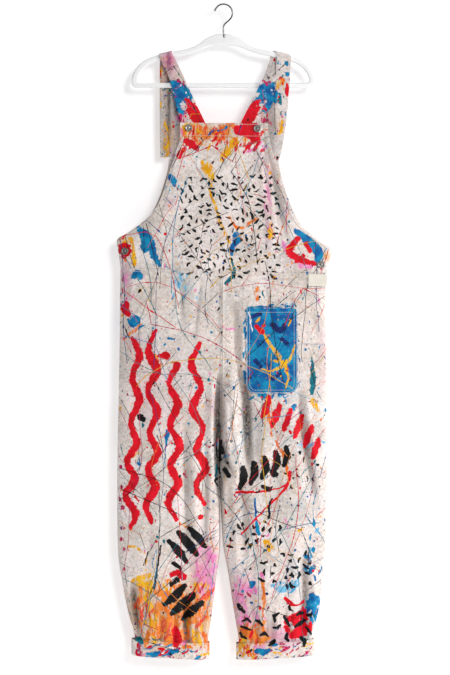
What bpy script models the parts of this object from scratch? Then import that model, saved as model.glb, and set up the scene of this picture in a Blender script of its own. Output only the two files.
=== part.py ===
"""Bib overalls of paint spattered cotton canvas, hanging flat on a plastic coat hanger.

Metres, +Z up, the front of the garment towards -Y. The origin is the inside top of the
hanger's hook, where it rests on a rail. Every cloth piece is a thin wall on a flattened
tube section; left and right are as seen from the front, so left is -X.
"""

import math

import bpy
import numpy as np
from mathutils import Vector
from mathutils.bvhtree import BVHTree

# ---- driving sizes -------------------------------------------------------------------

CLOTH = 0.0016  # canvas wall of the bib and the legs
STRAP = 0.0025  # strap, two layers of canvas
HEM = 0.0014  # the bib hem's extra layer
CUFF = 0.0020  # turned-up hem
POCKET = 0.0014
LABEL = 0.0010
GAP = 0.0003  # between pieces that meet
SEAM = GAP / 2  # each side of a seam keeps this far from it
CORNER_GAP = 0.0010  # at the foot of an armhole, and at the crotch
STRIP = 0.003  # the flat strip along a side seam, where front meets back
SQUARENESS = 0.6  # below 1 the section is flatter than an ellipse

WAIST = -0.6245  # height of the waist seam at the centre
CROTCH = -1.045
LEG_END = -1.5290  # the leg's cut edge, inside its turned-up hem
BIB_HEM_DEPTH = 0.033
BACK_TOP = -0.3625

HANGER_THICK = 0.008
HANGER_EDGE = 0.003  # rounding of the hanger's edges
HANGER_BAR_TOP = -0.185
HANGER_BAR_BOTTOM = -0.195
HOOK_WIRE = 0.0038
HOOK_INNER_RADIUS = 0.0191
NECK_SLOT_WIDTH = 0.0046
NECK_SLOT_FLOOR = -0.0765

BUTTON_RADIUS = 0.0085
BUTTON_HEIGHT = 0.0032


def table(columns, rows):
    """Named columns of numbers, one row for each height or fold."""
    return {name: np.array(values) for name, values in zip(columns.split(), zip(*rows))}


# The bib by height at the centre line: its left and right edges, the tilt of that row
# (the right side hangs lower), its depth from the middle plane, and how far round the
# section the edge sits, in degrees (0 at the side seam).
BIB_FRONT = table("z left right tilt depth edge", [
    (-0.2785, -0.1015, 0.1030, -0.005, 0.0118, 62),
    (-0.3060, -0.1012, 0.1060, -0.010, 0.0128, 58),
    (-0.3350, -0.1050, 0.1125, -0.017, 0.0140, 54),
    (-0.3800, -0.1215, 0.1255, -0.025, 0.0160, 46),
    (-0.4220, -0.1340, 0.1345, -0.031, 0.0180, 38),
    (-0.4620, -0.1475, 0.1540, -0.036, 0.0196, 30),
    (-0.4990, -0.1685, 0.1720, -0.041, 0.0210, 22),
    (-0.5250, -0.1960, 0.1960, -0.043, 0.0222, 14),
    (-0.5465, -0.2240, 0.2240, -0.045, 0.0232, 7),
    (-0.5647, -0.2500, 0.2526, -0.045, 0.0240, 0),
    (-0.5950, -0.2455, 0.2480, -0.036, 0.0250, 0),
    (WAIST, -0.2410, 0.2430, -0.027, 0.0260, 0),
])
BIB_BACK = table("z left right tilt depth edge", [
    (BACK_TOP, -0.1290, 0.1290, -0.010, 0.0115, 60),
    (-0.3850, -0.1310, 0.1335, -0.018, 0.0135, 52),
    (-0.4220, -0.1400, 0.1430, -0.028, 0.0165, 42),
    (-0.4620, -0.1530, 0.1580, -0.036, 0.0190, 32),
    (-0.4990, -0.1710, 0.1750, -0.041, 0.0210, 22),
    (-0.5250, -0.1960, 0.1965, -0.043, 0.0222, 14),
    (-0.5465, -0.2240, 0.2240, -0.045, 0.0232, 7),
    (-0.5647, -0.2500, 0.2526, -0.045, 0.0240, 0),
    (-0.5950, -0.2455, 0.2480, -0.036, 0.0250, 0),
    (WAIST, -0.2410, 0.2430, -0.027, 0.0260, 0),
])
BIB_FRONT_ROWS = (
    -0.2785, -0.2950, -0.3115, -0.3350, -0.3580, -0.3800, -0.4010, -0.4220, -0.4420,
    -0.4620, -0.4810, -0.4990, -0.5130, -0.5250, -0.5360, -0.5465, -0.5560, -0.5647,
    -0.5950, WAIST,
)
BIB_BACK_ROWS = (BACK_TOP, -0.3850, -0.4220, -0.4620) + BIB_FRONT_ROWS[11:]

# The legs by height: outer sides, inner edges (the centre seam above the crotch), the
# row's tilt, how much higher its outer side hangs, its depth, and how far round the
# section the inner edge sits: 90 at the centre front, 180 at an inseam.
LEGS = table("z out_left out_right in_left in_right tilt rise depth reach", [
    (WAIST, -0.2410, 0.2430, -0.0035, -0.0035, -0.027, 0, 0.0260, 90),
    (-0.6700, -0.2418, 0.2408, -0.0035, -0.0035, -0.022, 0, 0.0290, 90),
    (-0.7000, -0.2422, 0.2378, -0.0035, -0.0035, -0.018, 0, 0.0308, 90),
    (-0.7870, -0.2430, 0.2410, -0.0035, -0.0035, -0.008, 0, 0.0330, 90),
    (-0.8700, -0.2445, 0.2416, -0.0040, -0.0040, 0, 0, 0.0340, 92),
    (-0.9280, -0.2456, 0.2420, -0.0080, -0.0080, 0, 0, 0.0340, 102),
    (-0.9900, -0.2472, 0.2426, -0.0120, -0.0120, 0, 0, 0.0330, 128),
    (CROTCH, -0.2480, 0.2430, -0.0130, -0.0130, 0, 0, 0.0320, 180),
    (-1.1160, -0.2490, 0.2425, -0.0120, -0.0120, 0, 0, 0.0310, 180),
    (-1.1600, -0.2490, 0.2422, -0.0092, -0.0086, 0, 0, 0.0308, 180),
    (-1.2100, -0.2490, 0.2420, -0.0072, -0.0050, 0, 0, 0.0305, 180),
    (-1.2700, -0.2475, 0.2390, -0.0080, -0.0010, 0, 0, 0.0300, 180),
    (-1.3080, -0.2450, 0.2360, -0.0115, 0.0060, 0, 0, 0.0300, 180),
    (-1.3540, -0.2370, 0.2328, -0.0180, 0.0140, 0, 0, 0.0300, 180),
    (-1.3970, -0.2295, 0.2270, -0.0230, 0.0200, 0, 0, 0.0300, 180),
    (-1.4400, -0.2200, 0.2190, -0.0290, 0.0275, 0, 0.020, 0.0300, 180),
    (-1.4880, -0.2075, 0.2068, -0.0365, 0.0355, 0, 0.055, 0.0300, 180),
    (LEG_END, -0.2060, 0.2055, -0.0385, 0.0380, 0, 0.055, 0.0300, 180),
])
# Each panel is one cloth from waist to hem. It is kept as two solids that meet at the
# crotch, a hip half and a leg half, so that collision can follow both.
HIP_ROWS = (
    WAIST - GAP, -0.6600, -0.7000, -0.7450, -0.7870, -0.8300, -0.8700, -0.9000,
    -0.9280, -0.9600, -0.9900, -1.0200, CROTCH,
)
LEG_ROWS = (
    CROTCH - GAP, -1.0800, -1.1160, -1.1600, -1.2100,
    -1.2700, -1.3080, -1.3540, -1.3970, -1.4400, -1.4880, LEG_END,
)
LEG_MIDDLE = 0.12  # the outer side's rise is counted from this far off the centre
LEG_COLUMNS = (0, 0.012, 0.05, 0.13, 0.25, 0.38, 0.52, 0.65, 0.76, 0.86, 0.93, 0.978, 1)
BACK_COLUMNS = (0, 0.014, 0.08, 0.20, 0.38, 0.58, 0.77, 0.91, 0.98, 1)

# The largest folds: a trough from one point to another, this wide and this deep into
# the garment; a negative depth is a ridge.
FRONT_FOLDS = table("x0 z0 x1 z1 width depth", [
    (-0.0090, -0.850, -0.0135, -1.140, 0.012, 0.0130),  # the crotch's deep valley
    (0.0180, -0.870, 0.0350, -1.110, 0.013, -0.0060),  # the loose cloth beside it
    (0.0215, -0.690, 0.0400, -0.900, 0.010, 0.0060),
    (0.0400, -0.860, 0.0580, -1.100, 0.012, 0.0100),
    (0.1720, -0.900, 0.2120, -1.180, 0.014, 0.0060),
    (0.1900, -1.260, 0.1830, -1.510, 0.013, 0.0055),
    (-0.0900, -0.960, -0.0870, -1.330, 0.018, 0.0050),
    (-0.0420, -1.000, -0.0460, -1.330, 0.014, 0.0040),
    (-0.0880, -1.380, -0.0880, -1.520, 0.013, 0.0060),
    (-0.2150, -1.360, -0.1950, -1.500, 0.012, 0.0050),
    (0.0905, -0.300, 0.1360, -0.600, 0.014, 0.0035),
])
BACK_FOLDS = table("x0 z0 x1 z1 width depth", [
    (-0.0035, -0.840, -0.0120, -1.120, 0.014, 0.0110),
    (-0.0900, -0.700, -0.0450, -1.060, 0.020, 0.0060),
    (0.1050, -0.720, 0.0500, -1.050, 0.018, 0.0065),
    (0.1200, -1.150, 0.1450, -1.420, 0.020, 0.0050),
    (-0.1300, -1.200, -0.1100, -1.480, 0.018, 0.0055),
    (-0.0500, -0.420, -0.0850, -0.600, 0.018, 0.0035),
    (0.0700, -0.450, 0.0350, -0.590, 0.016, 0.0030),
])

CUFFS = table("side outer inner depth top bottom", [
    (-1, -0.2165, -0.0325, 0.0342, -1.4925, -1.5318),
    (1, 0.2125, 0.0295, 0.0342, -1.4935, -1.5318),
])
CUFF_COLUMNS = 26
CUFF_TOP_RISE = 0.05
CUFF_BOTTOM_RISE = 0.055

# Half of the hanger's outline: distance from its centre and height of its top edge.
HANGER_TOP = table("x z", [
    (0.0000, -0.0675), (0.0120, -0.0682), (0.0220, -0.0707), (0.0410, -0.0790),
    (0.0625, -0.0945), (0.0850, -0.1030), (0.1190, -0.1100), (0.1600, -0.1198),
    (0.1890, -0.1330), (0.2057, -0.1500), (0.2145, -0.1680), (0.2165, -0.1790),
])
HANGER_INSIDE = table("x z", [
    (0.0000, -0.0925), (0.0220, -0.0935), (0.0410, -0.0985), (0.0625, -0.1075),
    (0.0850, -0.1135), (0.1190, -0.1200), (0.1580, -0.1295), (0.1820, -0.1410),
    (0.1965, -0.1560), (0.2045, -0.1720), (0.2055, -0.1800),
])

# A strap is a row of crossings: its left and right edge, and how far it stands off the
# middle plane (negative is in front).
STRAP_ROW = "left_x left_z right_x right_z y"
STRAP_OFF_HANGER = HANGER_THICK / 2 + GAP + STRAP / 2
FRONT_STRAP_Y = -(STRAP_OFF_HANGER + STRAP + GAP)
STRAPS_FRONT = {
    "left": table(STRAP_ROW, [
        (-0.0965, -0.3180, -0.0475, -0.3180, 0),
        (-0.0995, -0.2760, -0.0435, -0.2760, 0),
        (-0.1080, -0.2450, -0.0600, -0.2420, FRONT_STRAP_Y),
        (-0.1165, -0.2130, -0.0765, -0.2070, FRONT_STRAP_Y),
        (-0.1246, -0.1810, -0.0928, -0.1716, FRONT_STRAP_Y),
    ]),
    "right": table(STRAP_ROW, [
        (0.0455, -0.3180, 0.0985, -0.3180, 0),
        (0.0410, -0.2760, 0.1010, -0.2760, 0),
        (0.0580, -0.2430, 0.1060, -0.2450, FRONT_STRAP_Y),
        (0.0750, -0.2090, 0.1117, -0.2125, FRONT_STRAP_Y),
        (0.0921, -0.1750, 0.1173, -0.1800, FRONT_STRAP_Y),
    ]),
}
ROWS_BEHIND_BIB = 2  # the first crossings of a front strap lie against the bib

# The left strap comes up in front of the hanger's arm and goes down behind it; the
# right one comes up behind the arm and goes down in front.
SHOULDER_UP = {
    "left": table(STRAP_ROW, [
        (-0.1185, -0.2060, -0.0830, -0.1960, -STRAP_OFF_HANGER),
        (-0.1246, -0.1810, -0.0928, -0.1716, -STRAP_OFF_HANGER),
        (-0.1340, -0.1560, -0.1030, -0.1480, -STRAP_OFF_HANGER),
        (-0.1440, -0.1380, -0.1130, -0.1280, -STRAP_OFF_HANGER),
    ]),
    "right": table(STRAP_ROW, [
        (0.0790, -0.2130, 0.1085, -0.2180, -STRAP_OFF_HANGER),
        (0.0870, -0.1900, 0.1150, -0.1945, -STRAP_OFF_HANGER),
        (0.0921, -0.1750, 0.1173, -0.1800, -0.0050),
        (0.0975, -0.1600, 0.1240, -0.1630, -0.0015),
        (0.1035, -0.1440, 0.1330, -0.1480, 0.0030),
        (0.1075, -0.1330, 0.1380, -0.1370, STRAP_OFF_HANGER),
    ]),
}
# Where the strap's edges cross the arm, before and after the top.
SHOULDER_OVER = table("side up_left up_right down_left down_right", [
    (-1, -0.1516, -0.1215, -0.1502, -0.1202),
    (1, 0.1110, 0.1415, 0.1256, 0.1584),
])
SHOULDER_DOWN = {
    "left": table(STRAP_ROW, [
        (-0.1490, -0.1380, -0.1195, -0.1330, STRAP_OFF_HANGER),
        (-0.1455, -0.1650, -0.1170, -0.1620, STRAP_OFF_HANGER),
        (-0.1420, -0.2000, -0.1160, -0.2000, STRAP_OFF_HANGER),
        (-0.1350, -0.2470, -0.1100, -0.2470, 0.0062),
        (-0.1300, -0.2850, -0.1035, -0.2850, 0.0067),
        (-0.1275, -0.3200, -0.1075, -0.3200, 0.0072),
        (-0.1255, -0.3450, -0.1130, -0.3450, 0.0076),
        (-0.1245, -0.3740, -0.1120, -0.3740, 0),
    ]),
    "right": table(STRAP_ROW, [
        (0.1248, -0.1300, 0.1578, -0.1380, -STRAP_OFF_HANGER),
        (0.1234, -0.1550, 0.1562, -0.1580, -STRAP_OFF_HANGER),
        (0.1220, -0.1960, 0.1546, -0.1960, -STRAP_OFF_HANGER),
        (0.1210, -0.2400, 0.1510, -0.2420, -0.0048),
        (0.1216, -0.2850, 0.1460, -0.2840, -0.0018),
        (0.1240, -0.3200, 0.1405, -0.3200, 0.0025),
        (0.1258, -0.3450, 0.1360, -0.3450, 0.0060),
        (0.1165, -0.3740, 0.1270, -0.3740, 0),
    ]),
}
TAILS = {
    "left": table(STRAP_ROW, [
        (-0.1500, -0.1380, -0.1270, -0.1380, STRAP_OFF_HANGER + STRAP + GAP),
        (-0.1500, -0.2000, -0.1270, -0.2000, STRAP_OFF_HANGER + STRAP + GAP),
        (-0.1500, -0.2470, -0.1270, -0.2470, 0.0091),
        (-0.1495, -0.3200, -0.1265, -0.3200, 0.0101),
        (-0.1490, -0.3575, -0.1260, -0.3575, 0.0106),
    ]),
    "right": table(STRAP_ROW, [
        (0.0860, -0.1980, 0.1110, -0.1990, -STRAP_OFF_HANGER + STRAP + GAP),
        (0.0890, -0.2180, 0.1140, -0.2180, -STRAP_OFF_HANGER + STRAP + GAP),
        (0.0965, -0.2500, 0.1200, -0.2500, -0.0005),
        (0.1010, -0.3000, 0.1220, -0.3000, 0.0010),
        (0.1040, -0.3450, 0.1228, -0.3450, 0.0020),
        (0.1060, -0.3700, 0.1230, -0.3700, 0.0025),
    ]),
}

POCKET_LEFT, POCKET_RIGHT = 0.0530, 0.1727
POCKET_TOP, POCKET_BOTTOM = -0.7120, -0.9120
POCKET_CORNER = 0.022

LABEL_LEFT, LABEL_RIGHT = 0.1986, 0.2415
LABEL_TOP, LABEL_BOTTOM = -0.6335, -0.6615
LABEL_TURN = 0.0020  # its free edge lies this much nearer the cloth than its inner one

BUTTONS = {  # where each tack button's centre sits on the cloth
    "bib_button_left": (-0.0820, -0.2905),
    "bib_button_right": (0.0785, -0.2920),
    "side_button_left": (-0.2308, -0.5790),
    "side_button_right": (0.2282, -0.6110),
}

# ---- shared geometry -----------------------------------------------------------------


def smooth(columns, name, z):
    """One column at a height, along a curve through the rows that doesn't overshoot."""
    heights, values = -columns["z"], columns[name].astype(float)
    steps = np.diff(values) / np.diff(heights)
    slopes = np.zeros(len(values))
    slopes[0], slopes[-1] = steps[0], steps[-1]
    for i in range(1, len(values) - 1):
        if steps[i - 1] * steps[i] > 0:
            slopes[i] = 2 / (1 / steps[i - 1] + 1 / steps[i])
    x = min(max(-z, heights[0]), heights[-1])
    i = min(int(np.searchsorted(heights, x, side="right")) - 1, len(values) - 2)
    width = heights[i + 1] - heights[i]
    t = (x - heights[i]) / width
    return float(
        (2 * t**3 - 3 * t**2 + 1) * values[i]
        + (t**3 - 2 * t**2 + t) * width * slopes[i]
        + (3 * t**2 - 2 * t**3) * values[i + 1]
        + (t**3 - t**2) * width * slopes[i + 1]
    )


def fold_depth(folds, x, z):
    """How far the folds push the cloth inwards at a point of the front view."""
    total = 0.0
    for x0, z0, x1, z1, width, depth in zip(*(folds[name] for name in folds)):
        run = Vector((x1 - x0, z1 - z0))
        away = Vector((x - x0, z - z0))
        t = away.dot(run) / run.length_squared
        if 0 < t < 1:
            across = (away - run * t).length / width
            total += depth * math.sin(math.pi * t) ** 0.6 * math.exp(-across * across)
    return total


def section_y(depth, angle):
    """Distance of the cloth from the middle plane at an angle round the section."""
    return STRIP + (depth - STRIP) * max(math.sin(angle), 0.0) ** SQUARENESS


def fold_share(angle):
    """Folds fade out towards a side seam or an inseam."""
    return max(math.sin(angle), 0.0) ** 0.5


def bib_point(columns, folds, facing, z, share):
    """A point of the bib: share runs 0 to 1 from its left edge to its right edge."""
    left, right = smooth(columns, "left", z), smooth(columns, "right", z)
    edge = math.radians(smooth(columns, "edge", z))
    angle = math.acos(math.cos(edge) * (1 - 2 * share))
    x = left + (right - left) * share
    place = z + smooth(columns, "tilt", z) * x
    out = section_y(smooth(columns, "depth", z), angle)
    out -= fold_share(angle) * fold_depth(folds, x, place)
    return Vector((x, facing * out, place))


def bib_grid(columns, folds, facing, heights, across):
    """The bib's rows of points. At the closed sides the last strip turns to the seam."""
    corner = next(z for z, edge in zip(columns["z"], columns["edge"]) if edge == 0)
    rows = []
    for z in heights:
        closed = z <= corner
        shares = [i / across for i in range(across + 1)]
        inner = 0.012 if not closed else 0.0
        shares = [inner + (1 - 2 * inner) * (1 - math.cos(math.pi * s)) / 2 for s in shares]
        row = [bib_point(columns, folds, facing, z, s) for s in shares]
        ends = [bib_point(columns, folds, facing, z, s) for s in (0, 1)]
        if closed:
            for end in ends:
                end.y = facing * (SEAM if z < corner else CORNER_GAP)
        rows.append([ends[0]] + row + [ends[1]])
    return rows


def leg_point(side, folds, facing, z, share):
    """A point of a leg: share runs 0 to 1 from its outer side to its inner edge."""
    name = "left" if side < 0 else "right"
    outer, inner = smooth(LEGS, "out_" + name, z), smooth(LEGS, "in_" + name, z)
    reach = math.radians(smooth(LEGS, "reach", z))
    depth = smooth(LEGS, "depth", z)
    turn = max(math.sin(reach), 0.05)
    rise = (depth - STRIP) * SQUARENESS * turn ** (SQUARENESS - 1) * -math.cos(reach)
    run = abs(inner - outer) / (1 - math.cos(reach)) * turn
    lean = max(rise, 0.0) / math.hypot(rise, run)
    inner += side * (SEAM + CLOTH / 2 * lean)
    angle = math.acos(max(-1.0, 1 - share * (1 - math.cos(reach))))
    x = outer + (inner - outer) * share
    place = z + smooth(LEGS, "tilt", z) * x + smooth(LEGS, "rise", z) * (abs(x) - LEG_MIDDLE)
    out = section_y(depth, angle) - fold_share(angle) * fold_depth(folds, x, place)
    return Vector((x, facing * out, place))


def leg_grid(side, folds, facing, heights, shares):
    """A leg panel's rows of points, with a strip that turns to the seam at each side."""
    rows = []
    for z in heights:
        row = [leg_point(side, folds, facing, z, share) for share in shares[:-1]]
        start, end = row[0].copy(), leg_point(side, folds, facing, z, 1)
        start.y = facing * SEAM
        if z <= CROTCH:
            row.append(end.copy())
            end.y = facing * (SEAM if z < CROTCH else CORNER_GAP)
        else:
            row.append(leg_point(side, folds, facing, z, 0.997))
        rows.append([start] + row + [end])
    return rows


def waist_line(x):
    """Height of the waist seam at a distance from the centre."""
    return WAIST + smooth(LEGS, "tilt", WAIST) * x


# ---- building ------------------------------------------------------------------------

for old in list(bpy.data.objects):
    bpy.data.objects.remove(old, do_unlink=True)

PARTS = bpy.data.collections.new("paint_spattered_overalls")
bpy.context.scene.collection.children.link(PARTS)


def material(name, color, roughness, metallic=0.0):
    made = bpy.data.materials.new(name)
    made.use_nodes = True
    shader = made.node_tree.nodes["Principled BSDF"]
    shader.inputs["Base Color"].default_value = (*color, 1)
    shader.inputs["Roughness"].default_value = roughness
    shader.inputs["Metallic"].default_value = metallic
    return made


CANVAS = material("ecru_canvas", (0.70, 0.65, 0.60), 0.9)
BLUE_PAINT = material("blue_painted_canvas", (0.04, 0.20, 0.45), 0.7)
PINK_CANVAS = material("painted_strap_canvas", (0.72, 0.55, 0.52), 0.85)
LABEL_CLOTH = material("label_cloth", (0.82, 0.79, 0.72), 0.8)
PEWTER = material("pewter", (0.32, 0.31, 0.29), 0.42, 1.0)
PLASTIC = material("white_plastic", (0.86, 0.87, 0.87), 0.3)
STEEL = material("hook_steel", (0.45, 0.45, 0.45), 0.25, 1.0)


def place(made, name, finish):
    """Names an object, gives it its material and puts it with the parts."""
    made.name = made.data.name = name
    made.data.materials.append(finish)
    for collection in list(made.users_collection):
        collection.objects.unlink(made)
    PARTS.objects.link(made)
    return made


def wall(name, rows, thick, finish, ring=False):
    """A cloth wall: a grid laid on rows of points, then given its thickness."""
    across = len(rows[0]) - 1
    bpy.ops.mesh.primitive_grid_add(x_subdivisions=across, y_subdivisions=len(rows) - 1)
    made = place(bpy.context.object, name, finish)
    points = [point for row in rows for point in row]
    for vertex, point in zip(made.data.vertices, points):
        vertex.co = point
    if ring:
        weld = made.modifiers.new("closed_ring", "WELD")
        weld.merge_threshold = 0.00005
    shell = made.modifiers.new("cloth_thickness", "SOLIDIFY")
    shell.thickness = thick
    shell.offset = 0
    return made


def surface(made):
    """The finished surface of an object, for what lies on it."""
    shown = made.evaluated_get(bpy.context.evaluated_depsgraph_get())
    mesh = bpy.data.meshes.new_from_object(shown)
    tree = BVHTree.FromPolygons(
        [v.co.copy() for v in mesh.vertices], [tuple(p.vertices) for p in mesh.polygons]
    )
    bpy.data.meshes.remove(mesh)
    return tree


def front_of(tree, x, z):
    """Where the surface is met from the front, and which way it faces."""
    hit, normal, _, _ = tree.ray_cast(Vector((x, -1.0, z)), Vector((0, 1, 0)))
    return hit, normal


def back_of(tree, x, z):
    """Where the surface is met from behind."""
    return tree.ray_cast(Vector((x, 1.0, z)), Vector((0, -1, 0)))[0]


# Bib panels
front_rows = bib_grid(BIB_FRONT, FRONT_FOLDS, -1, BIB_FRONT_ROWS, 14)
bib_front = wall("bib_front", front_rows, CLOTH, CANVAS)
back_rows = bib_grid(BIB_BACK, BACK_FOLDS, 1, BIB_BACK_ROWS, 9)
wall("bib_back", back_rows, CLOTH, CANVAS)

# The hem band is made from the bib's own top rows, moved out by its thickness.
HEM_OUT = Vector((0, -(CLOTH / 2 + GAP + HEM / 2), 0))
hem_rows = [
    [point + HEM_OUT for point in row[1:-1]]
    for z, row in zip(BIB_FRONT_ROWS, front_rows)
    if z >= BIB_FRONT_ROWS[0] - BIB_HEM_DEPTH
]
bib_hem = wall("bib_hem", hem_rows, HEM, CANVAS)

# Leg panels
for half, heights in (("hip", HIP_ROWS), ("leg", LEG_ROWS)):
    for side, name in ((-1, "left"), (1, "right")):
        front = leg_grid(side, FRONT_FOLDS, -1, heights, LEG_COLUMNS)
        wall(half + "_front_" + name, front, CLOTH, CANVAS)
        back = leg_grid(side, BACK_FOLDS, 1, heights, BACK_COLUMNS)
        wall(half + "_back_" + name, back, CLOTH, CANVAS)


def ring_point(outer, inner, depth, turn, z, rise):
    """A point round a leg's closed section, turn going from 0 to 1."""
    angle = 2 * math.pi * turn
    across = (1 - math.cos(angle)) / 2
    x = outer + (inner - outer) * across
    bulge = abs(math.sin(angle)) ** SQUARENESS
    y = math.copysign(STRIP + (depth - STRIP) * bulge, -math.sin(angle)) if bulge > 1e-3 else 0
    return Vector((x, y, z + rise * (abs(x) - LEG_MIDDLE)))


# Turned-up hems: down the outside, round the bottom, and in under the leg's edge.
for side, outer, inner, depth, top, bottom in zip(*(CUFFS[key] for key in CUFFS)):
    name = "left" if side < 0 else "right"
    leg_outer = smooth(LEGS, "out_" + name, bottom) - side * CLOTH
    leg_inner = smooth(LEGS, "in_" + name, bottom) + side * CLOTH
    leg_depth = smooth(LEGS, "depth", bottom) - CLOTH
    wall_in = side * CUFF / 2
    middle = (top + bottom) / 2
    # how far towards the leg's inside, height, and how much the outer side is raised
    profile = (
        (0.03, top, CUFF_TOP_RISE),
        (0.0, middle, (CUFF_TOP_RISE + CUFF_BOTTOM_RISE) / 2),
        (0.0, bottom + 0.004, CUFF_BOTTOM_RISE),
        (0.30, bottom + 0.0015, CUFF_BOTTOM_RISE),
        (1.0, bottom + 0.0015, CUFF_BOTTOM_RISE),
    )
    rows = []
    for inward, z, rise in profile:
        row = []
        for column in range(CUFF_COLUMNS + 1):
            turn = (column % CUFF_COLUMNS) / CUFF_COLUMNS
            cuff = ring_point(outer - wall_in, inner + wall_in, depth, turn, z, rise)
            leg = ring_point(leg_outer, leg_inner, leg_depth, turn, z, rise)
            row.append(cuff.lerp(leg, inward))
        rows.append(row)
    wall("cuff_" + name, rows, CUFF, CANVAS, ring=True)

# Patch pocket: rows follow the thigh panel, with round bottom corners.
thigh = surface(bpy.data.objects["hip_front_right"])
pocket_rows = []
for i in range(9):
    z = POCKET_TOP + (POCKET_BOTTOM - POCKET_TOP) * math.sin(math.pi / 2 * i / 8)
    into_corner = max(0.0, POCKET_BOTTOM + POCKET_CORNER - z)
    pull_in = POCKET_CORNER - math.sqrt(max(0.0, POCKET_CORNER**2 - into_corner**2))
    left, right = POCKET_LEFT + pull_in, POCKET_RIGHT - pull_in
    row = []
    for j in range(9):
        x = left + (right - left) * j / 8
        met, _ = front_of(thigh, x, z)
        row.append(met - Vector((0, GAP + POCKET, 0)))
    pocket_rows.append(row)
wall("patch_pocket", pocket_rows, POCKET, BLUE_PAINT)

# Blank label, sewn into the waist seam and hanging free in front of the hip.
label_heights = (LABEL_TOP, (LABEL_TOP + LABEL_BOTTOM) / 2, LABEL_BOTTOM)
nearest = min(front_of(thigh, LABEL_LEFT, z)[0].y for z in label_heights)
label_y = nearest - GAP - LABEL / 2
label_rows = []
for z in label_heights:
    label_rows.append([
        Vector((
            LABEL_LEFT + (LABEL_RIGHT - LABEL_LEFT) * t,
            label_y + LABEL_TURN * t,
            z + smooth(LEGS, "tilt", WAIST) * (LABEL_RIGHT - LABEL_LEFT) * (t - 0.5),
        ))
        for t in (0.0, 0.5, 1.0)
    ])
wall("waist_label", label_rows, LABEL, LABEL_CLOTH)


def crossing(row, across):
    """The points across a strap from its left edge to its right edge."""
    left = Vector((row["left_x"], row["y"], row["left_z"]))
    right = Vector((row["right_x"], row["y"], row["right_z"]))
    return [left.lerp(right, i / across) for i in range(across + 1)]


def rows_of(columns):
    return [dict(zip(columns, values)) for values in zip(*(columns[key] for key in columns))]


def arm_top(x):
    """Height of the hanger's top edge at a distance from its centre."""
    return float(np.interp(abs(x), HANGER_TOP["x"], HANGER_TOP["z"]))


bib_tree = surface(bib_front)
back_tree = surface(bpy.data.objects["bib_back"])
STRAP_ACROSS = 3

for side, name in ((-1, "left"), (1, "right")):
    # Front strap: its end lies behind the bib, then it rises free to the seam.
    front_strap = []
    for i, row in enumerate(rows_of(STRAPS_FRONT[name])):
        points = crossing(row, STRAP_ACROSS + 1)
        if i < ROWS_BEHIND_BIB:
            heights = (row["left_z"], BIB_FRONT_ROWS[1], BIB_FRONT_ROWS[0] - CLOTH)
            nearest = max(
                back_of(bib_tree, point.x, min(height, heights[2])).y
                for point in points for height in heights
            )
            for point in points:
                point.y = nearest + GAP + STRAP / 2
        front_strap.append(points)
    wall("strap_front_" + name, front_strap, STRAP, PINK_CANVAS)

    # Shoulder strap: up to the hanger's arm, over it, and down to the back panel.
    shoulder = [crossing(row, STRAP_ACROSS) for row in rows_of(SHOULDER_UP[name])]
    over = rows_of(SHOULDER_OVER)[0 if side < 0 else 1]
    start_y = side * 1.0  # the left strap starts in front, the right one behind
    corner = STRAP_OFF_HANGER - HANGER_THICK / 2 + HANGER_EDGE
    flat = HANGER_THICK / 2 - HANGER_EDGE
    steps = 8
    for i in range(steps + 1):
        t = i / steps
        turn = math.pi * t
        left = over["up_left"] + (over["down_left"] - over["up_left"]) * t
        right = over["up_right"] + (over["down_right"] - over["up_right"]) * t
        y = start_y * (math.cos(turn) * corner + math.copysign(flat, math.cos(turn) + 1e-9))
        if i == steps // 2:
            y = 0.0
        points = []
        for j in range(STRAP_ACROSS + 1):
            x = left + (right - left) * j / STRAP_ACROSS
            points.append(Vector((x, y, arm_top(x) - HANGER_EDGE + math.sin(turn) * corner)))
        shoulder.append(points)
    down = [crossing(row, STRAP_ACROSS) for row in rows_of(SHOULDER_DOWN[name])]
    for point in down[-1]:
        met, _, _, _ = back_tree.ray_cast(Vector((point.x, -1.0, point.z)), Vector((0, 1, 0)))
        point.y = met.y - GAP - STRAP / 2
    wall("strap_shoulder_" + name, shoulder + down, STRAP, PINK_CANVAS)

    tail = [crossing(row, 2) for row in rows_of(TAILS[name])]
    wall("strap_tail_" + name, tail, STRAP, PINK_CANVAS)

# Tack buttons: one turned profile, set square to the cloth under each.
BUTTON_PROFILE = table("r z", [
    (0.0000, 1.00), (0.28, 0.96), (0.42, 0.70), (0.62, 0.70), (0.80, 1.00), (1.0, 0.62),
    (1.0, 0.12), (0.86, 0.0), (0.0, 0.0),
])
cloth_under = {"bib": surface(bib_hem), "side": bib_tree}
for name, (x, z) in BUTTONS.items():
    met, normal = front_of(cloth_under[name.split("_")[0]], x, z)
    if normal.y > 0:
        normal = -normal
    mesh = bpy.data.meshes.new(name)
    profile = [
        (r * BUTTON_RADIUS, 0, height * BUTTON_HEIGHT)
        for r, height in zip(BUTTON_PROFILE["r"], BUTTON_PROFILE["z"])
    ]
    mesh.from_pydata(profile, [(i, i + 1) for i in range(len(profile) - 1)], [])
    button = bpy.data.objects.new(name, mesh)
    place(button, name, PEWTER)
    turned = button.modifiers.new("turned", "SCREW")
    turned.steps = turned.render_steps = 16
    turned.use_merge_vertices = True
    turned.merge_threshold = 0.00005
    turned.use_smooth_shade = True
    button.location = met + normal * (GAP + 0.0004)
    button.rotation_mode = "QUATERNION"
    button.rotation_quaternion = normal.to_track_quat("Z", "Y")

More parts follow.
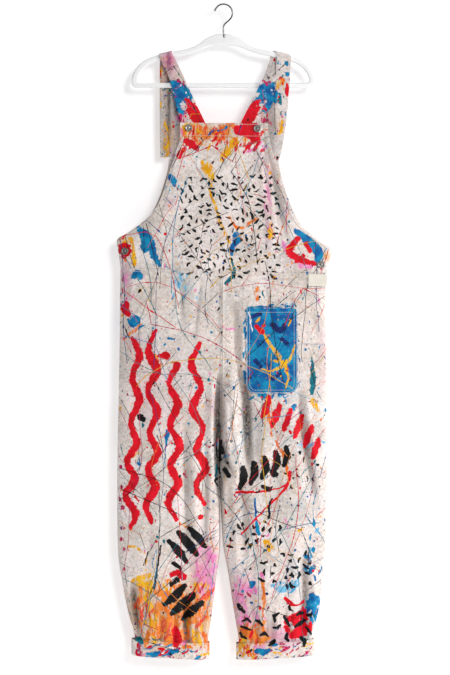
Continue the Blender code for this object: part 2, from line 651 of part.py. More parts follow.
# Hanger: a flat moulded outline with one window, rounded edges and a slot at the neck.
slot = NECK_SLOT_WIDTH / 2
right_top = [(x, z) for x, z in zip(HANGER_TOP["x"], HANGER_TOP["z"]) if x > slot]
neck = [(slot, NECK_SLOT_FLOOR), (slot, HANGER_TOP["z"][0])]
end_bottom = [(0.2150, -0.1890), (0.2080, HANGER_BAR_BOTTOM)]
half = neck + right_top + end_bottom
outline = half + [(-x, z) for x, z in reversed(half)]
window_half = [(x, z) for x, z in zip(HANGER_INSIDE["x"], HANGER_INSIDE["z"]) if x > 0]
window_half += [(0.2010, HANGER_BAR_TOP)]
window = [(0.0, HANGER_INSIDE["z"][0])] + window_half + [(-x, z) for x, z in reversed(window_half)]

hanger_curve = bpy.data.curves.new("hanger_body", "CURVE")
hanger_curve.dimensions = "2D"
hanger_curve.fill_mode = "BOTH"
hanger_curve.extrude = HANGER_THICK / 2 - HANGER_EDGE
hanger_curve.bevel_depth = HANGER_EDGE
hanger_curve.bevel_resolution = 1
hanger_curve.offset = -HANGER_EDGE
for points in (outline, window):
    spline = hanger_curve.splines.new("POLY")
    spline.points.add(len(points) - 1)
    for target, (x, z) in zip(spline.points, points):
        target.co = (x, z, 0, 1)
    spline.use_cyclic_u = True
hanger = bpy.data.objects.new("hanger_body", hanger_curve)
place(hanger, "hanger_body", PLASTIC)
hanger.rotation_euler = (math.pi / 2, 0, 0)
weld = hanger.modifiers.new("closed_caps", "WELD")
weld.merge_threshold = 0.00005

# Hook: round wire, from its open tip over the rail and down into the hanger's slot.
radius = HOOK_INNER_RADIUS + HOOK_WIRE / 2
centre_z = -HOOK_INNER_RADIUS
TIP_ANGLE, LAST_ANGLE = math.radians(168), math.radians(-42)
route = []
for i in range(17):
    angle = TIP_ANGLE + (LAST_ANGLE - TIP_ANGLE) * i / 16
    route.append(Vector((radius * math.cos(angle), 0, centre_z + radius * math.sin(angle))))
# from the arc the wire sweeps back under the rail and turns down into the neck
leave = Vector((math.sin(LAST_ANGLE), 0, -math.cos(LAST_ANGLE)))
arc_end, neck_start = route[-1], Vector((0, 0, -0.0560))
SWEEP = 0.022
for i in range(1, 9):
    t = i / 8
    route.append(
        arc_end * (1 - t) ** 3
        + (arc_end + leave * SWEEP * 0.8) * 3 * t * (1 - t) ** 2
        + (neck_start + Vector((0, 0, SWEEP * 0.6))) * 3 * t**2 * (1 - t)
        + neck_start * t**3
    )
route.append(Vector((0, 0, NECK_SLOT_FLOOR + GAP)))
hook_curve = bpy.data.curves.new("hanger_hook", "CURVE")
hook_curve.dimensions = "3D"
hook_curve.bevel_depth = HOOK_WIRE / 2
hook_curve.bevel_resolution = 2
hook_curve.use_fill_caps = True
spline = hook_curve.splines.new("POLY")
spline.points.add(len(route) - 1)
for target, point in zip(spline.points, route):
    target.co = (*point, 1)
hook = bpy.data.objects.new("hanger_hook", hook_curve)
place(hook, "hanger_hook", STEEL)
weld = hook.modifiers.new("closed_caps", "WELD")
weld.merge_threshold = 0.00005
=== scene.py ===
"""Paint spattered canvas bib overalls, hanging flat on a white plastic coat hanger.

Metres, +Z up, the front of the garment towards -Y; the origin is the inside top of the
hanger's hook. Left and right are as seen from the front, so left is -X.
"""

import math
import re

import bmesh
import bpy
import numpy as np
from mathutils import Matrix, Vector
from mathutils.bvhtree import BVHTree


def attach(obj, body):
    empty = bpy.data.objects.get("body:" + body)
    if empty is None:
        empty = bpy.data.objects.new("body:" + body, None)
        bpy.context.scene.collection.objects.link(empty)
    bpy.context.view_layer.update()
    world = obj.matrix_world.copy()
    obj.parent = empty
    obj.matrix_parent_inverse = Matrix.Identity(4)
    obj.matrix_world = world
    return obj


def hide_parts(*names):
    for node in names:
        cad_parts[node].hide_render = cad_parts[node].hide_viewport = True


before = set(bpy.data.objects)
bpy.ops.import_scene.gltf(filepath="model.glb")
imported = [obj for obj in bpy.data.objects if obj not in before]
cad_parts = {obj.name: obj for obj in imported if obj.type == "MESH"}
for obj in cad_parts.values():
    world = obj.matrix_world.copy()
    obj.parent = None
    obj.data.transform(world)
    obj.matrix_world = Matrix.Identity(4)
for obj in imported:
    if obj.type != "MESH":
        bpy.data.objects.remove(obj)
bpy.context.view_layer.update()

# ======== Bib and legs
# Six panels of 10 oz cotton canvas, cut flat, felled together at the waist, centre front
# and sides, and worn soft. They hang from the straps, so the long creases run down the
# legs from the crotch, and the pleats at the waist open towards the thighs.

CLOTH = 0.0016  # thickness of the canvas
GAP = 0.0003  # between neighbouring pieces
SEAM = GAP / 2
CORNER_GAP = 0.0010  # at an armhole's foot, where front and back part
STRIP = 0.003  # half the garment's depth at its side seams
SQUARENESS = 0.6  # 1 would round the sides like an ellipse, less is boxier
DEEPEST = 0.0045  # no crease comes nearer to the garment's middle
LEG_MIDDLE = 0.12  # the middle of a leg, about which its end is raised
NOT_LENGTHS = ("tilt", "rise", "edge", "reach")


def table(columns, text):
    """Named columns from lines of numbers; what is in millimetres there becomes metres."""
    rows = [line.split() for line in text.splitlines() if line.strip()]
    return {
        name: (np.array(values, float) / (1 if name in NOT_LENGTHS else 1000)).round(7)
        for name, values in zip(columns.split(), zip(*rows))
    }


def points_of(text):
    """Points from 'x,z x,z ...' in millimetres, with a third number where there is one."""
    return np.array([item.split(",") for item in text.split()], float) / 1000


BIB_COLUMNS = "z left right tilt depth edge"
BELOW_ARMHOLES = """
    -546.5 -224 224 -0.045 23.2 7
    -564.7 -250 252.6 -0.045 24 0
    -595 -245.5 248 -0.036 25 0
    -624.5 -241 243 -0.027 26 0
"""
BIB_FRONT = table(BIB_COLUMNS, """
    -278.5 -101.5 103 -0.005 11.8 62
    -306 -101.2 106 -0.010 12.8 58
    -335 -105 112.5 -0.017 14 54
    -380 -121.5 125.5 -0.025 16 46
    -422 -134 134.5 -0.031 18 38
    -462 -147.5 154 -0.036 19.6 30
    -499 -168.5 172 -0.041 21 22
    -525 -196 196 -0.043 22.2 14
""" + BELOW_ARMHOLES)
BIB_BACK = table(BIB_COLUMNS, """
    -362.5 -129 129 -0.010 11.5 60
    -385 -131 133.5 -0.018 13.5 52
    -422 -140 143 -0.028 16.5 42
    -462 -153 158 -0.036 19 32
    -499 -171 175 -0.041 21 22
    -525 -196 196.5 -0.043 22.2 14
""" + BELOW_ARMHOLES)
LEGS = table("z out_left out_right in_left in_right tilt rise depth reach", """
    -624.5 -241 243 -3.5 -3.5 -0.027 0 26 90
    -670 -241.8 240.8 -3.5 -3.5 -0.022 0 29 90
    -700 -242.2 237.8 -3.5 -3.5 -0.018 0 30.8 90
    -787 -243 241 -3.5 -3.5 -0.008 0 33 90
    -870 -244.5 241.6 -4 -4 0 0 34 92
    -928 -245.6 242 -8 -8 0 0 34 102
    -990 -247.2 242.6 -12 -12 0 0 33 128
    -1045 -248 243 -13 -13 0 0 32 180
    -1116 -249 242.5 -12 -12 0 0 31 180
    -1160 -249 242.2 -9.2 -8.6 0 0 30.8 180
    -1210 -249 242 -7.2 -5 0 0 30.5 180
    -1270 -247.5 239 -8 -1 0 0 30 180
    -1308 -245 236 -11.5 6 0 0 30 180
    -1354 -237 232.8 -18 14 0 0 30 180
    -1397 -229.5 227 -23 20 0 0 30 180
    -1440 -220 219 -29 27.5 0 0.020 30 180
    -1488 -207.5 206.8 -36.5 35.5 0 0.055 30 180
    -1529 -206 205.5 -38.5 38 0 0.055 30 180
""")

BIB_TOP, BACK_TOP, ARMHOLE_FOOT = -0.2785, -0.3625, -0.5647
WAIST, CROTCH, LEG_END = -0.6245, -1.045, -1.5290
WAIST_TILT = 0.027

# Each crease: the line it follows, in millimetres across and up, then its width to the
# left and to the right of that line and how deep it goes; a negative depth stands proud.
FRONT_FOLDS = """
    -11,-862 -14,-940 -14,-1060 -13,-1160 / 6.5 12 21
    16,-850 34,-1115 / 11 12 -9
    21.5,-690 40,-900 / 10 10 6
    42,-840 60,-1110 / 11 12 14
    172,-900 212,-1180 / 12 12 9
    190,-1260 183,-1510 / 11 11 9
    -90,-960 -87,-1330 / 14 14 7
    -42,-1000 -46,-1330 / 11 11 6.5
    -88,-1380 -88,-1520 / 10 10 10
    -217,-1350 -208,-1430 -196,-1500 / 6 10 12
    90.5,-300 136,-600 / 10 11 6

    -23,-880 -27,-1000 -24,-1110 / 12 3.5 -7
    3,-890 8,-1000 15,-1070 35,-1122 / 4 10 -11
    34,-850 58,-925 60,-1080 / 8 5 9
    -5,-1020 6,-1066 24,-1106 / 7 4.5 12
    47,-735 44,-850 52,-925 / 6 10 -4.6
    98,-335 114,-470 132,-585 / 7 5 -5
    112,-368 134,-500 160,-600 / 6 9 5.5
    86,-300 92,-420 112,-560 / 10 6 -3.4
    -100,-300 -128,-400 -150,-500 / 10 6 2.6
    -95,-640 -101,-700 -96,-770 / 6 9 3.5
    -52,-640 -60,-710 -72,-800 / 7 6 3.2
    92,-650 110,-720 118,-760 / 7 6 2.6
    150,-640 158,-690 154,-770 / 6 8 2.3
    199,-690 214,-740 220,-800 / 7 6 3.2
    176,-900 183,-985 204,-1100 216,-1170 / 6 9 5.8
    196,-905 203,-1000 219,-1085 / 8 6 -3.2
    150,-930 170,-1040 181,-1150 / 12 9 -2.6
    122,-930 128,-1060 119,-1190 / 16 12 2.6
    88,-920 94,-1040 88,-1150 / 13 10 -2.3
    66,-940 80,-1040 74,-1160 / 7 9 3.8
    34,-1105 50,-1180 46,-1300 / 11 10 7.5
    -9,-1105 -6,-1180 -5,-1275 / 5 5 10
    22,-1130 26,-1240 38,-1370 / 7 8 -2.6
    10,-1110 14,-1180 20,-1250 / 6 7 3.8
    140,-1210 150,-1330 143,-1440 / 13 12 2.9
    108,-1240 98,-1350 110,-1450 / 14 10 -2.3
    183,-1290 190,-1385 182,-1480 / 6 8 7.5
    204,-1300 213,-1380 203,-1470 / 6 5 -2.9
    72,-1290 66,-1390 74,-1480 / 9 8 2.6
    -240,-700 -226,-800 -238,-900 / 8 10 2.6
    -222,-640 -214,-700 -220,-790 / 7 9 -2.3
    -178,-640 -170,-720 -182,-830 / 14 10 2.3
    -205,-860 -196,-980 -210,-1110 / 14 12 2.6
    -160,-900 -166,-1020 -156,-1150 / 16 12 -2.3
    -128,-930 -122,-1060 -132,-1180 / 12 14 2.3
    -94,-980 -90,-1120 -86,-1260 / 6 9 4.3
    -72,-1000 -66,-1110 -68,-1230 / 9 7 -2.9
    -44,-1000 -41,-1130 -46,-1260 / 6 8 4.1
    -26,-1120 -27,-1200 -24,-1290 / 5 6 2.9
    -180,-1150 -172,-1260 -182,-1380 / 12 10 2.6
    -62,-1260 -58,-1360 -66,-1470 / 9 9 -2.6
    -88,-1370 -90,-1430 -86,-1505 / 5 8 5.8
    -214,-1340 -207,-1420 -196,-1492 / 4 8 9
    -199,-1370 -194,-1430 -186,-1490 / 5 7 -3.2
    -38,-1300 -36,-1380 -44,-1450 / 5 6 2.6
    4,-1070 22,-1090 46,-1098 / 5 4 3.5
    14,-1085 30,-1122 58,-1150 / 5 5 -2.9
    -20,-1090 -52,-1102 -96,-1094 / 7 6 2.3"""
BACK_FOLDS = """
    -3.5,-840 -12,-1120 / 14 14 11
    -90,-700 -45,-1060 / 20 20 6
    105,-720 50,-1050 / 18 18 6.5
    120,-1150 145,-1420 / 20 20 5
    -130,-1200 -110,-1480 / 18 18 5.5
    -50,-420 -85,-600 / 18 18 3.5
    70,-450 35,-590 / 16 16 3

    -26,-880 -34,-980 -24,-1080 / 8 5 -4.9
    16,-890 26,-990 18,-1090 / 4 8 -4.5
    -110,-860 -70,-980 -34,-1060 / 10 7 4.2
    92,-880 62,-980 28,-1066 / 8 10 4.5
    -190,-680 -176,-800 -196,-930 / 14 12 3.1
    186,-690 172,-820 190,-940 / 12 14 3.1
    -150,-930 -158,-1060 -146,-1180 / 14 10 -2.5
    158,-950 150,-1080 162,-1200 / 12 14 -2.5
    -206,-1080 -214,-1200 -204,-1320 / 9 8 3.6
    210,-1060 204,-1190 214,-1300 / 8 9 3.6
    -78,-1120 -72,-1240 -84,-1360 / 12 10 3.6
    74,-1130 82,-1250 70,-1370 / 10 12 3.4
    -40,-1180 -36,-1290 -46,-1400 / 8 8 -2.8
    34,-1180 40,-1290 46,-1400 / 8 8 3.1
    -176,-1330 -168,-1410 -176,-1500 / 8 7 4.2
    -96,-1390 -92,-1450 -96,-1502 / 6 6 4.2
    176,-1340 168,-1420 174,-1500 / 7 8 4.2
    -20,-400 6,-500 -8,-610 / 22 16 2.5
    -120,-440 -150,-520 -170,-600 / 12 10 2.5
    120,-450 150,-530 178,-606 / 10 12 2.5
    -60,-640 -66,-740 -52,-820 / 12 9 2.8
    50,-640 60,-740 48,-830 / 10 12 2.8
    -12,-1092 -50,-1104 -100,-1090 / 7 7 2.2
    6,-1096 44,-1112 96,-1100 / 7 7 2.2"""
# Felled seams and turned edges stand this proud: line / half width, height.
FRONT_RIDGES = """
    -248,-623.6 0,-630.2 250,-637 / 4.2 2.2
    -3.5,-640 -3.5,-1010 / 4.2 0.8
    153,-672 160,-690 173,-701 221,-747 / 4.0 0.9
    193,-698 209,-720 / 3.0 0.7
    -158,-668 -170,-690 -184,-704 -221,-742 / 4.0 0.9
"""
BACK_RIDGES = """
    -248,-623.6 0,-630.2 250,-637 / 4.0 1.5
    -3.5,-640 -3.5,-1010 / 4.2 0.8
    -172,-700 -60,-704 / 3.0 0.8
    60,-706 172,-710 / 3.0 0.8
    -172,-700 -174,-848 -116,-872 -58,-850 -60,-704 / 3.0 0.8
    60,-706 58,-852 116,-876 174,-852 172,-710 / 3.0 0.8
    -128,-372 0,-372 128,-374 / 6.0 0.8
"""


def follow(columns, name, z):
    """One column at the heights z, along a curve through its rows that doesn't overshoot."""
    heights, values = -columns["z"], columns[name]
    steps = np.diff(values) / np.diff(heights)
    before, after = steps[:-1], steps[1:]
    same_way = before * after > 0
    inner = np.where(same_way, 2 * before * after / np.where(same_way, before + after, 1), 0)
    slopes = np.concatenate(([steps[0]], inner, [steps[-1]]))
    x = np.clip(-np.asarray(z, float), heights[0], heights[-1])
    i = np.clip(np.searchsorted(heights, x, side="right") - 1, 0, len(values) - 2)
    width = heights[i + 1] - heights[i]
    t = (x - heights[i]) / width
    return (
        (2 * t**3 - 3 * t**2 + 1) * values[i]
        + (t**3 - 2 * t**2 + t) * width * slopes[i]
        + (3 * t**2 - 2 * t**3) * values[i + 1]
        + (t**3 - t**2) * width * slopes[i + 1]
    )


def rounded(points, step=0.006):
    """A line through the points with no corners, its columns carried along."""
    points = np.asarray(points, float)
    if len(points) < 3:
        return points
    padded = np.vstack((2 * points[0] - points[1], points, 2 * points[-1] - points[-2]))
    line = []
    for a, b, c, d in zip(padded[:-3], padded[1:-2], padded[2:-1], padded[3:]):
        count = max(1, int(np.linalg.norm((c - b)[:2]) / step))
        for t in np.arange(count) / count:
            line.append(
                0.5 * (2 * b + (c - a) * t + (2 * a - 5 * b + 4 * c - d) * t**2
                       + (3 * b - a - 3 * c + d) * t**3)
            )
    return np.array(line + [points[-1]])


def read_lines(text):
    """Rows of 'x,z x,z ... / numbers' in millimetres, as (line, numbers) in metres."""
    rows = []
    for row in text.strip().splitlines():
        if "/" in row:
            line, numbers = row.split("/")
            rows.append((points_of(line), np.array(numbers.split(), float) / 1000))
    return rows


def gathers(seed):
    """Short uneven folds where each leg is drawn in above its turned-up hem."""
    dice = np.random.default_rng(seed)
    folds = []
    for side in (-1, 1):
        x = side * 0.045
        while abs(x) < 0.200:
            start, lean = dice.uniform(-1.44, -1.38), dice.normal(0, 0.004)
            line = np.array([(x, start), (x + lean, (start - 1.5) / 2), (x, -1.504)])
            folds.append((line, np.array([
                dice.uniform(0.004, 0.007), dice.uniform(0.004, 0.007),
                dice.choice([-0.0026, 0.0030, 0.0042, 0.0052]),
            ])))
            x += side * dice.uniform(0.010, 0.024)
    return folds


def off_line(line, x, z):
    """For each point: its signed distance from the line, and how far along the line."""
    best = np.full(x.shape, np.inf)
    side = np.zeros(x.shape)
    along = np.zeros(x.shape)
    lengths = np.hypot(*np.diff(line, axis=0).T)
    start = 0.0
    for (x0, z0), (x1, z1), length in zip(line[:-1], line[1:], lengths):
        ux, uz = (x1 - x0) / length, (z1 - z0) / length
        t = (x - x0) * ux + (z - z0) * uz
        near = np.clip(t, 0, length)
        across = (z - z0) * ux - (x - x0) * uz
        distance = np.hypot(x - x0 - ux * near, z - z0 - uz * near)
        closer = distance < best
        best = np.where(closer, distance, best)
        side = np.where(closer, np.sign(across), side)
        along = np.where(closer, (start + t) / lengths.sum(), along)
        start += length
    return best, side, along


def near_line(line, margin, x, z):
    """Which points lie near a line, and how they lie to it."""
    low, high = line.min(0) - margin, line.max(0) + margin
    close = (x > low[0]) & (x < high[0]) & (z > low[1]) & (z < high[1])
    return close, *off_line(line, x[close], z[close])


def eased(height, share):
    """A step from 0 to a height with soft ends."""
    share = np.clip(share, 0, 1)
    return height * share * share * (3 - 2 * share)


def creased(folds, ridges, x, z):
    """How far the cloth goes in at points of the front view, for creases and seams."""
    total = np.zeros(x.shape)
    for line, (left, right, depth) in folds:
        close, distance, side, along = near_line(rounded(line, 0.03), 0.05, x, z)
        width = np.where(side > 0, right, left)
        fade = np.sin(np.pi * np.clip(along, 0, 1)) ** 0.6
        total[close] += depth * fade * np.exp(-((distance / width) ** 2))
    for line, (half, height) in ridges:
        close, distance, _, _ = near_line(line, 0.02, x, z)
        total[close] -= eased(height, (half + 0.0008 - distance) / 0.0016)
    return total


def worn(x, z, seed):
    """The slow unevenness of washed canvas, about a millimetre either way."""
    return (
        0.0011 * np.sin(37 * x + 11 * z + seed) * np.sin(19 * z - 6 * x + 2.1 * seed)
        + 0.0007 * np.sin(71 * x - 29 * z + 1.7 * seed) * np.sin(13 * x + 43 * z)
        + 0.0003 * np.sin(160 * x + 90 * z + seed) * np.sin(120 * z - 60 * x)
    )


def bulge(depth, angle, folds, ridges, x, z, seed):
    """How far a panel stands off the middle of the garment, creases and wear included."""
    around = np.maximum(np.sin(angle), 0)
    flat = STRIP + (depth - STRIP) * around**SQUARENESS
    out = flat - around**0.5 * (creased(folds, ridges, x, z) + worn(x, z, seed))
    return np.maximum(out, np.minimum(flat, DEEPEST))


def spread(count, ends=0.3):
    """Shares from 0 to 1, closer together near both ends."""
    u = np.linspace(0, 1, count)
    return (1 - ends) * u + ends * (1 - np.cos(np.pi * u)) / 2


def bib_grid(columns, folds, ridges, facing, heights, shares, seed):
    """Rows of points over a bib panel. Below the armholes it turns to the side seam."""
    z, share = np.meshgrid(heights, shares, indexing="ij")
    left, right = follow(columns, "left", z), follow(columns, "right", z)
    edge = np.radians(follow(columns, "edge", z))
    angle = np.arccos(np.cos(edge) * (1 - 2 * share))
    x = left + (right - left) * share
    place = z + follow(columns, "tilt", z) * x
    out = bulge(follow(columns, "depth", z), angle, folds, ridges, x, place, seed)
    # the turned armhole edge, two layers thick and 9 mm wide
    rim = np.where(z > ARMHOLE_FOOT - 0.0103, np.minimum(x - left, right - x), 1)
    out += eased(0.0009, (0.0098 - rim) / 0.0016)
    grid = np.stack((x, facing * out, place), axis=-1)
    ends = grid[:, [0, -1]].copy()
    closed = heights <= ARMHOLE_FOOT
    gap = np.where(heights[closed] < ARMHOLE_FOOT - 0.0001, SEAM, CORNER_GAP)
    ends[closed, :, 1] = facing * gap[:, None]
    return np.concatenate((ends[:, :1], grid, ends[:, 1:]), axis=1)


def leg_grid(side, folds, ridges, facing, heights, shares, seed):
    """Rows of points over a leg panel, from its outer side to its inner edge."""
    name = "left" if side < 0 else "right"
    z, share = np.meshgrid(heights, shares, indexing="ij")
    outer, inner = follow(LEGS, "out_" + name, z), follow(LEGS, "in_" + name, z)
    reach, depth = np.radians(follow(LEGS, "reach", z)), follow(LEGS, "depth", z)
    turn = np.maximum(np.sin(reach), 0.05)
    rise = (depth - STRIP) * SQUARENESS * turn ** (SQUARENESS - 1) * -np.cos(reach)
    run = np.abs(inner - outer) / (1 - np.cos(reach)) * turn
    inner = inner + side * (SEAM + CLOTH / 2 * np.maximum(rise, 0) / np.hypot(rise, run))
    angle = np.arccos(np.clip(1 - share * (1 - np.cos(reach)), -1, 1))
    x = outer + (inner - outer) * share
    place = z + follow(LEGS, "tilt", z) * x
    place += follow(LEGS, "rise", z) * (np.abs(x) - LEG_MIDDLE)
    out = bulge(depth, angle, folds, ridges, x, place, seed)
    grid = np.stack((x, facing * out, place), axis=-1)
    first, last = grid[:, :1].copy(), grid[:, -1:].copy()
    first[:, :, 1] = facing * SEAM
    last[heights < CROTCH, :, 1] = facing * SEAM
    return np.concatenate((first, grid, last), axis=1)


def select_only(made):
    bpy.ops.object.select_all(action="DESELECT")
    made.select_set(True)
    bpy.context.view_layer.objects.active = made


def apply_modifiers(made):
    select_only(made)
    for modifier in list(made.modifiers):
        bpy.ops.object.modifier_apply(modifier=modifier.name)


def cloth_sheet(name, grid, thick, ring=False):
    """A closed shell of cloth laid on rows of points, its middle on the points."""
    bpy.ops.object.select_all(action="DESELECT")
    bpy.ops.mesh.primitive_grid_add(
        x_subdivisions=grid.shape[1] - 1, y_subdivisions=grid.shape[0] - 1
    )
    made = bpy.context.object
    made.name = made.data.name = name
    made.data.vertices.foreach_set("co", np.ascontiguousarray(grid, np.float32).ravel())
    if ring:
        weld = made.modifiers.new("closed_ring", "WELD")
        weld.merge_threshold = 0.00002
    shell = made.modifiers.new("cloth_thickness", "SOLIDIFY")
    shell.thickness = thick
    shell.offset = 0
    apply_modifiers(made)
    bpy.ops.object.mode_set(mode="EDIT")
    bpy.ops.mesh.select_all(action="SELECT")
    bpy.ops.mesh.normals_make_consistent(inside=False)
    bpy.ops.object.mode_set(mode="OBJECT")
    bpy.ops.object.shade_smooth_by_angle(angle=math.radians(50))
    return made


def dressed(made, material, slot, *nodes):
    """Gives an object its material, and lets it ride in its solids' place; slot is not used."""
    made.data.materials.append(material)
    if nodes:
        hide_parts(*nodes)
    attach(made, "root")


# ---- the paint on the cloth: strokes and drops as lines of 'x,z,radius', millimetres ----


def strokes_of(text):
    """Strokes without corners, from each colour's name and its lines between semicolons."""
    return {
        colour: [rounded(points_of(line)) for line in lines.split(";")]
        for colour, lines in re.findall("([a-z]+)([^a-z]+)", text)
    }


PLACED = strokes_of("""
    yellow -210,-1351,7 -192,-1344,8 -173,-1337,6; -168,-1370,7 -180,-1389,5.5; -180,-1408,6
    -168,-1436,7 -166,-1469,8.5 -159,-1492,7; -137,-1361,7 -126,-1375,6; -88,-1398,7 -79,-1426,8
    -83,-1455,7; 48,-1483,8 39,-1502,7; -79,-294,7 -88,-310,4.5; 8,-341,7 25,-327,8; -93,-296,10.5
    -76,-287,10.5 -58,-296,10.5; 29,-322,9.5 15,-336,10.5 4,-352,9.5 -4,-367,4.5; -48,-371,7 -36,-388,12
    -29,-404,9.5 -29,-428,4.5; 53,-320,7; -34,-435,4 -18,-477,3 1,-533,3 13,-559,3.5; 109,-519,6
    112,-536,7 108,-548,4.5; -220,-550,5.5 -212,-569,5 -208,-602,6 -207,-609,6; -199,-1358,8
    -184,-1361,9.5 -170,-1356,7; -173,-1398,4 -161,-1426,5.5 -154,-1455,8 -147,-1483,7; -72,-1492,7
    -65,-1473,7 -55,-1497,7; -65,-1361,7 -46,-1361,7; 208,-928,6.5 215,-940,7 220,-949,5; 39,-1506,8.5
    53,-1511,9.5 43,-1523,6.5
    orange -154,-1375,9.5 -135,-1389,12 -149,-1412,10.5; -126,-1412,11 -107,-1431,12 -116,-1459,11;
    -147,-1450,9.5 -149,-1478,10.5; -102,-1473,11 -93,-1497,8; -74,-1408,8.5 -55,-1417,8.5
    -65,-1445,9.5; -46,-1478,7 -32,-1492,6; -130,-1351,7 -112,-1365,8; 90,-1492,7 105,-1483,5.5;
    -60,-287,7 -41,-298,8; -18,-317,7 1,-313,6 15,-298,5.5; -43,-308,12 -22,-303,9.5 1,-296,12
    20,-284,9.5; -67,-315,7 -55,-329,6; 13,-501,3.5 36,-526,3 67,-510,4 79,-503,4; -234,-785,4
    -217,-771,4 -194,-752,4; -140,-1398,8.5 -130,-1426,11 -135,-1459,12 -121,-1492,12; -102,-1365,8
    -93,-1394,7; -62,-1386,9.5 -67,-1408,9.5; -121,-1441,8 -93,-1426,7; -41,-1391,7 -32,-1370,5;
    79,-667,5.5 78,-682,6.5 79,-693,4.5; 102,-940,2 107,-978,4 114,-1010,2; 121,-1022,2 142,-1062,4
    152,-1112,2; 89,-1330,2 94,-1384,5 92,-1434,2.5; 48,-1464,9.5 67,-1478,12 81,-1488,9.5
    red 62,-301,8.5; 187,-590,5 170,-604,4; 34,-296,11 53,-298,14 72,-310,12 81,-320,7; 51,-270,12
    67,-280,12 76,-266,9.5; -88,-320,7 -74,-329,8 -62,-338,7; -95,-341,6 -105,-357,6; 173,-552,7
    154,-580,8 180,-599,7 213,-609,4.5; 194,-562,5.5 202,-578,5.5; -241,-569,7 -227,-569,9.5
    -220,-566,4.5; -243,-580,7 -222,-580,7 -234,-590,7; -227,-703,7 -231,-714,10 -224,-724,9;
    -121,-1335,6 -107,-1330,8.5 -93,-1342,7; -112,-1466,9.5 -107,-1488,10.5 -112,-1502,6; 29,-1143,3
    81,-1142,2.5 123,-1135,2 149,-1126,2.5; 156,-1097,4.5 145,-1133,3 90,-1189,2 41,-1243,2;
    147,-1445,6.5 161,-1436,7.5 177,-1431,8.5; 170,-1450,9.5 180,-1469,11 161,-1478,9; 187,-1450,6.5
    196,-1466,6.5
    crimson -207,-793,7
    pink -39,-1276,5.5 -27,-1304,7; 48,-1426,6.5 62,-1450,5.5; 180,-611,9.5 203,-611,9.5; 145,-576,6
    140,-559,5.5; -46,-1340,7 -36,-1309,7 -22,-1295,8.5; -29,-1328,8.5 -18,-1318,6; 29,-1379,6
    39,-1398,6; 72,-1426,6 81,-1441,5.5
    blue -187,-543,7 -173,-552,6; 203,-1384,4.5 222,-1403,5; -126,-404,6.5 -116,-416,7.5 -114,-425,4;
    27,-540,6.5 34,-552,8 22,-566,6.5; 19,-576,9 18,-588,4; 170,-531,5.5 201,-557,10.5 222,-583,11.5
    220,-599,6.5; -196,-529,8 -180,-550,14 -182,-569,13; -170,-559,9.5 -163,-588,8.5 -149,-613,4;
    -210,-637,7 -201,-630,8 -194,-639,6.5; -213,-736,7 -203,-740,10 -213,-752,6.5 -224,-738,2.5;
    -130,-1003,6 -135,-1039,2 -137,-1086,1.5; -177,-1520,3.5 -140,-1518,6.5 -112,-1511,7; 73,-1156,2
    76,-1203,3 79,-1227,4.5 83,-1241,4.5; 208,-1386,7.5 217,-1391,6.5 201,-1403,7.5; 213,-1410,6.5
    196,-1415,5; 79,-1513,6.5 93,-1516,8 105,-1511,5.5; 53,-719,3.5 76,-712,4 105,-711,3.5 128,-714,3.5;
    48,-862,3.5 62,-900,4 105,-919,4 114,-922,2.5
    sky 130,-1372,7 152,-1365,8 166,-1358,6
    teal 20,-604,2.5 25,-630,4.5 6,-656,4.5; 207,-827,1.5 209,-881,7 207,-912,4
    black -194,-968,8 -187,-972,7; -146,-1267,2 -154,-1316,2 -162,-1368,2.5; 114,-1095,6.5
    121,-1102,7.5; -6,-1041,7 -4,-1050,6.5
""")
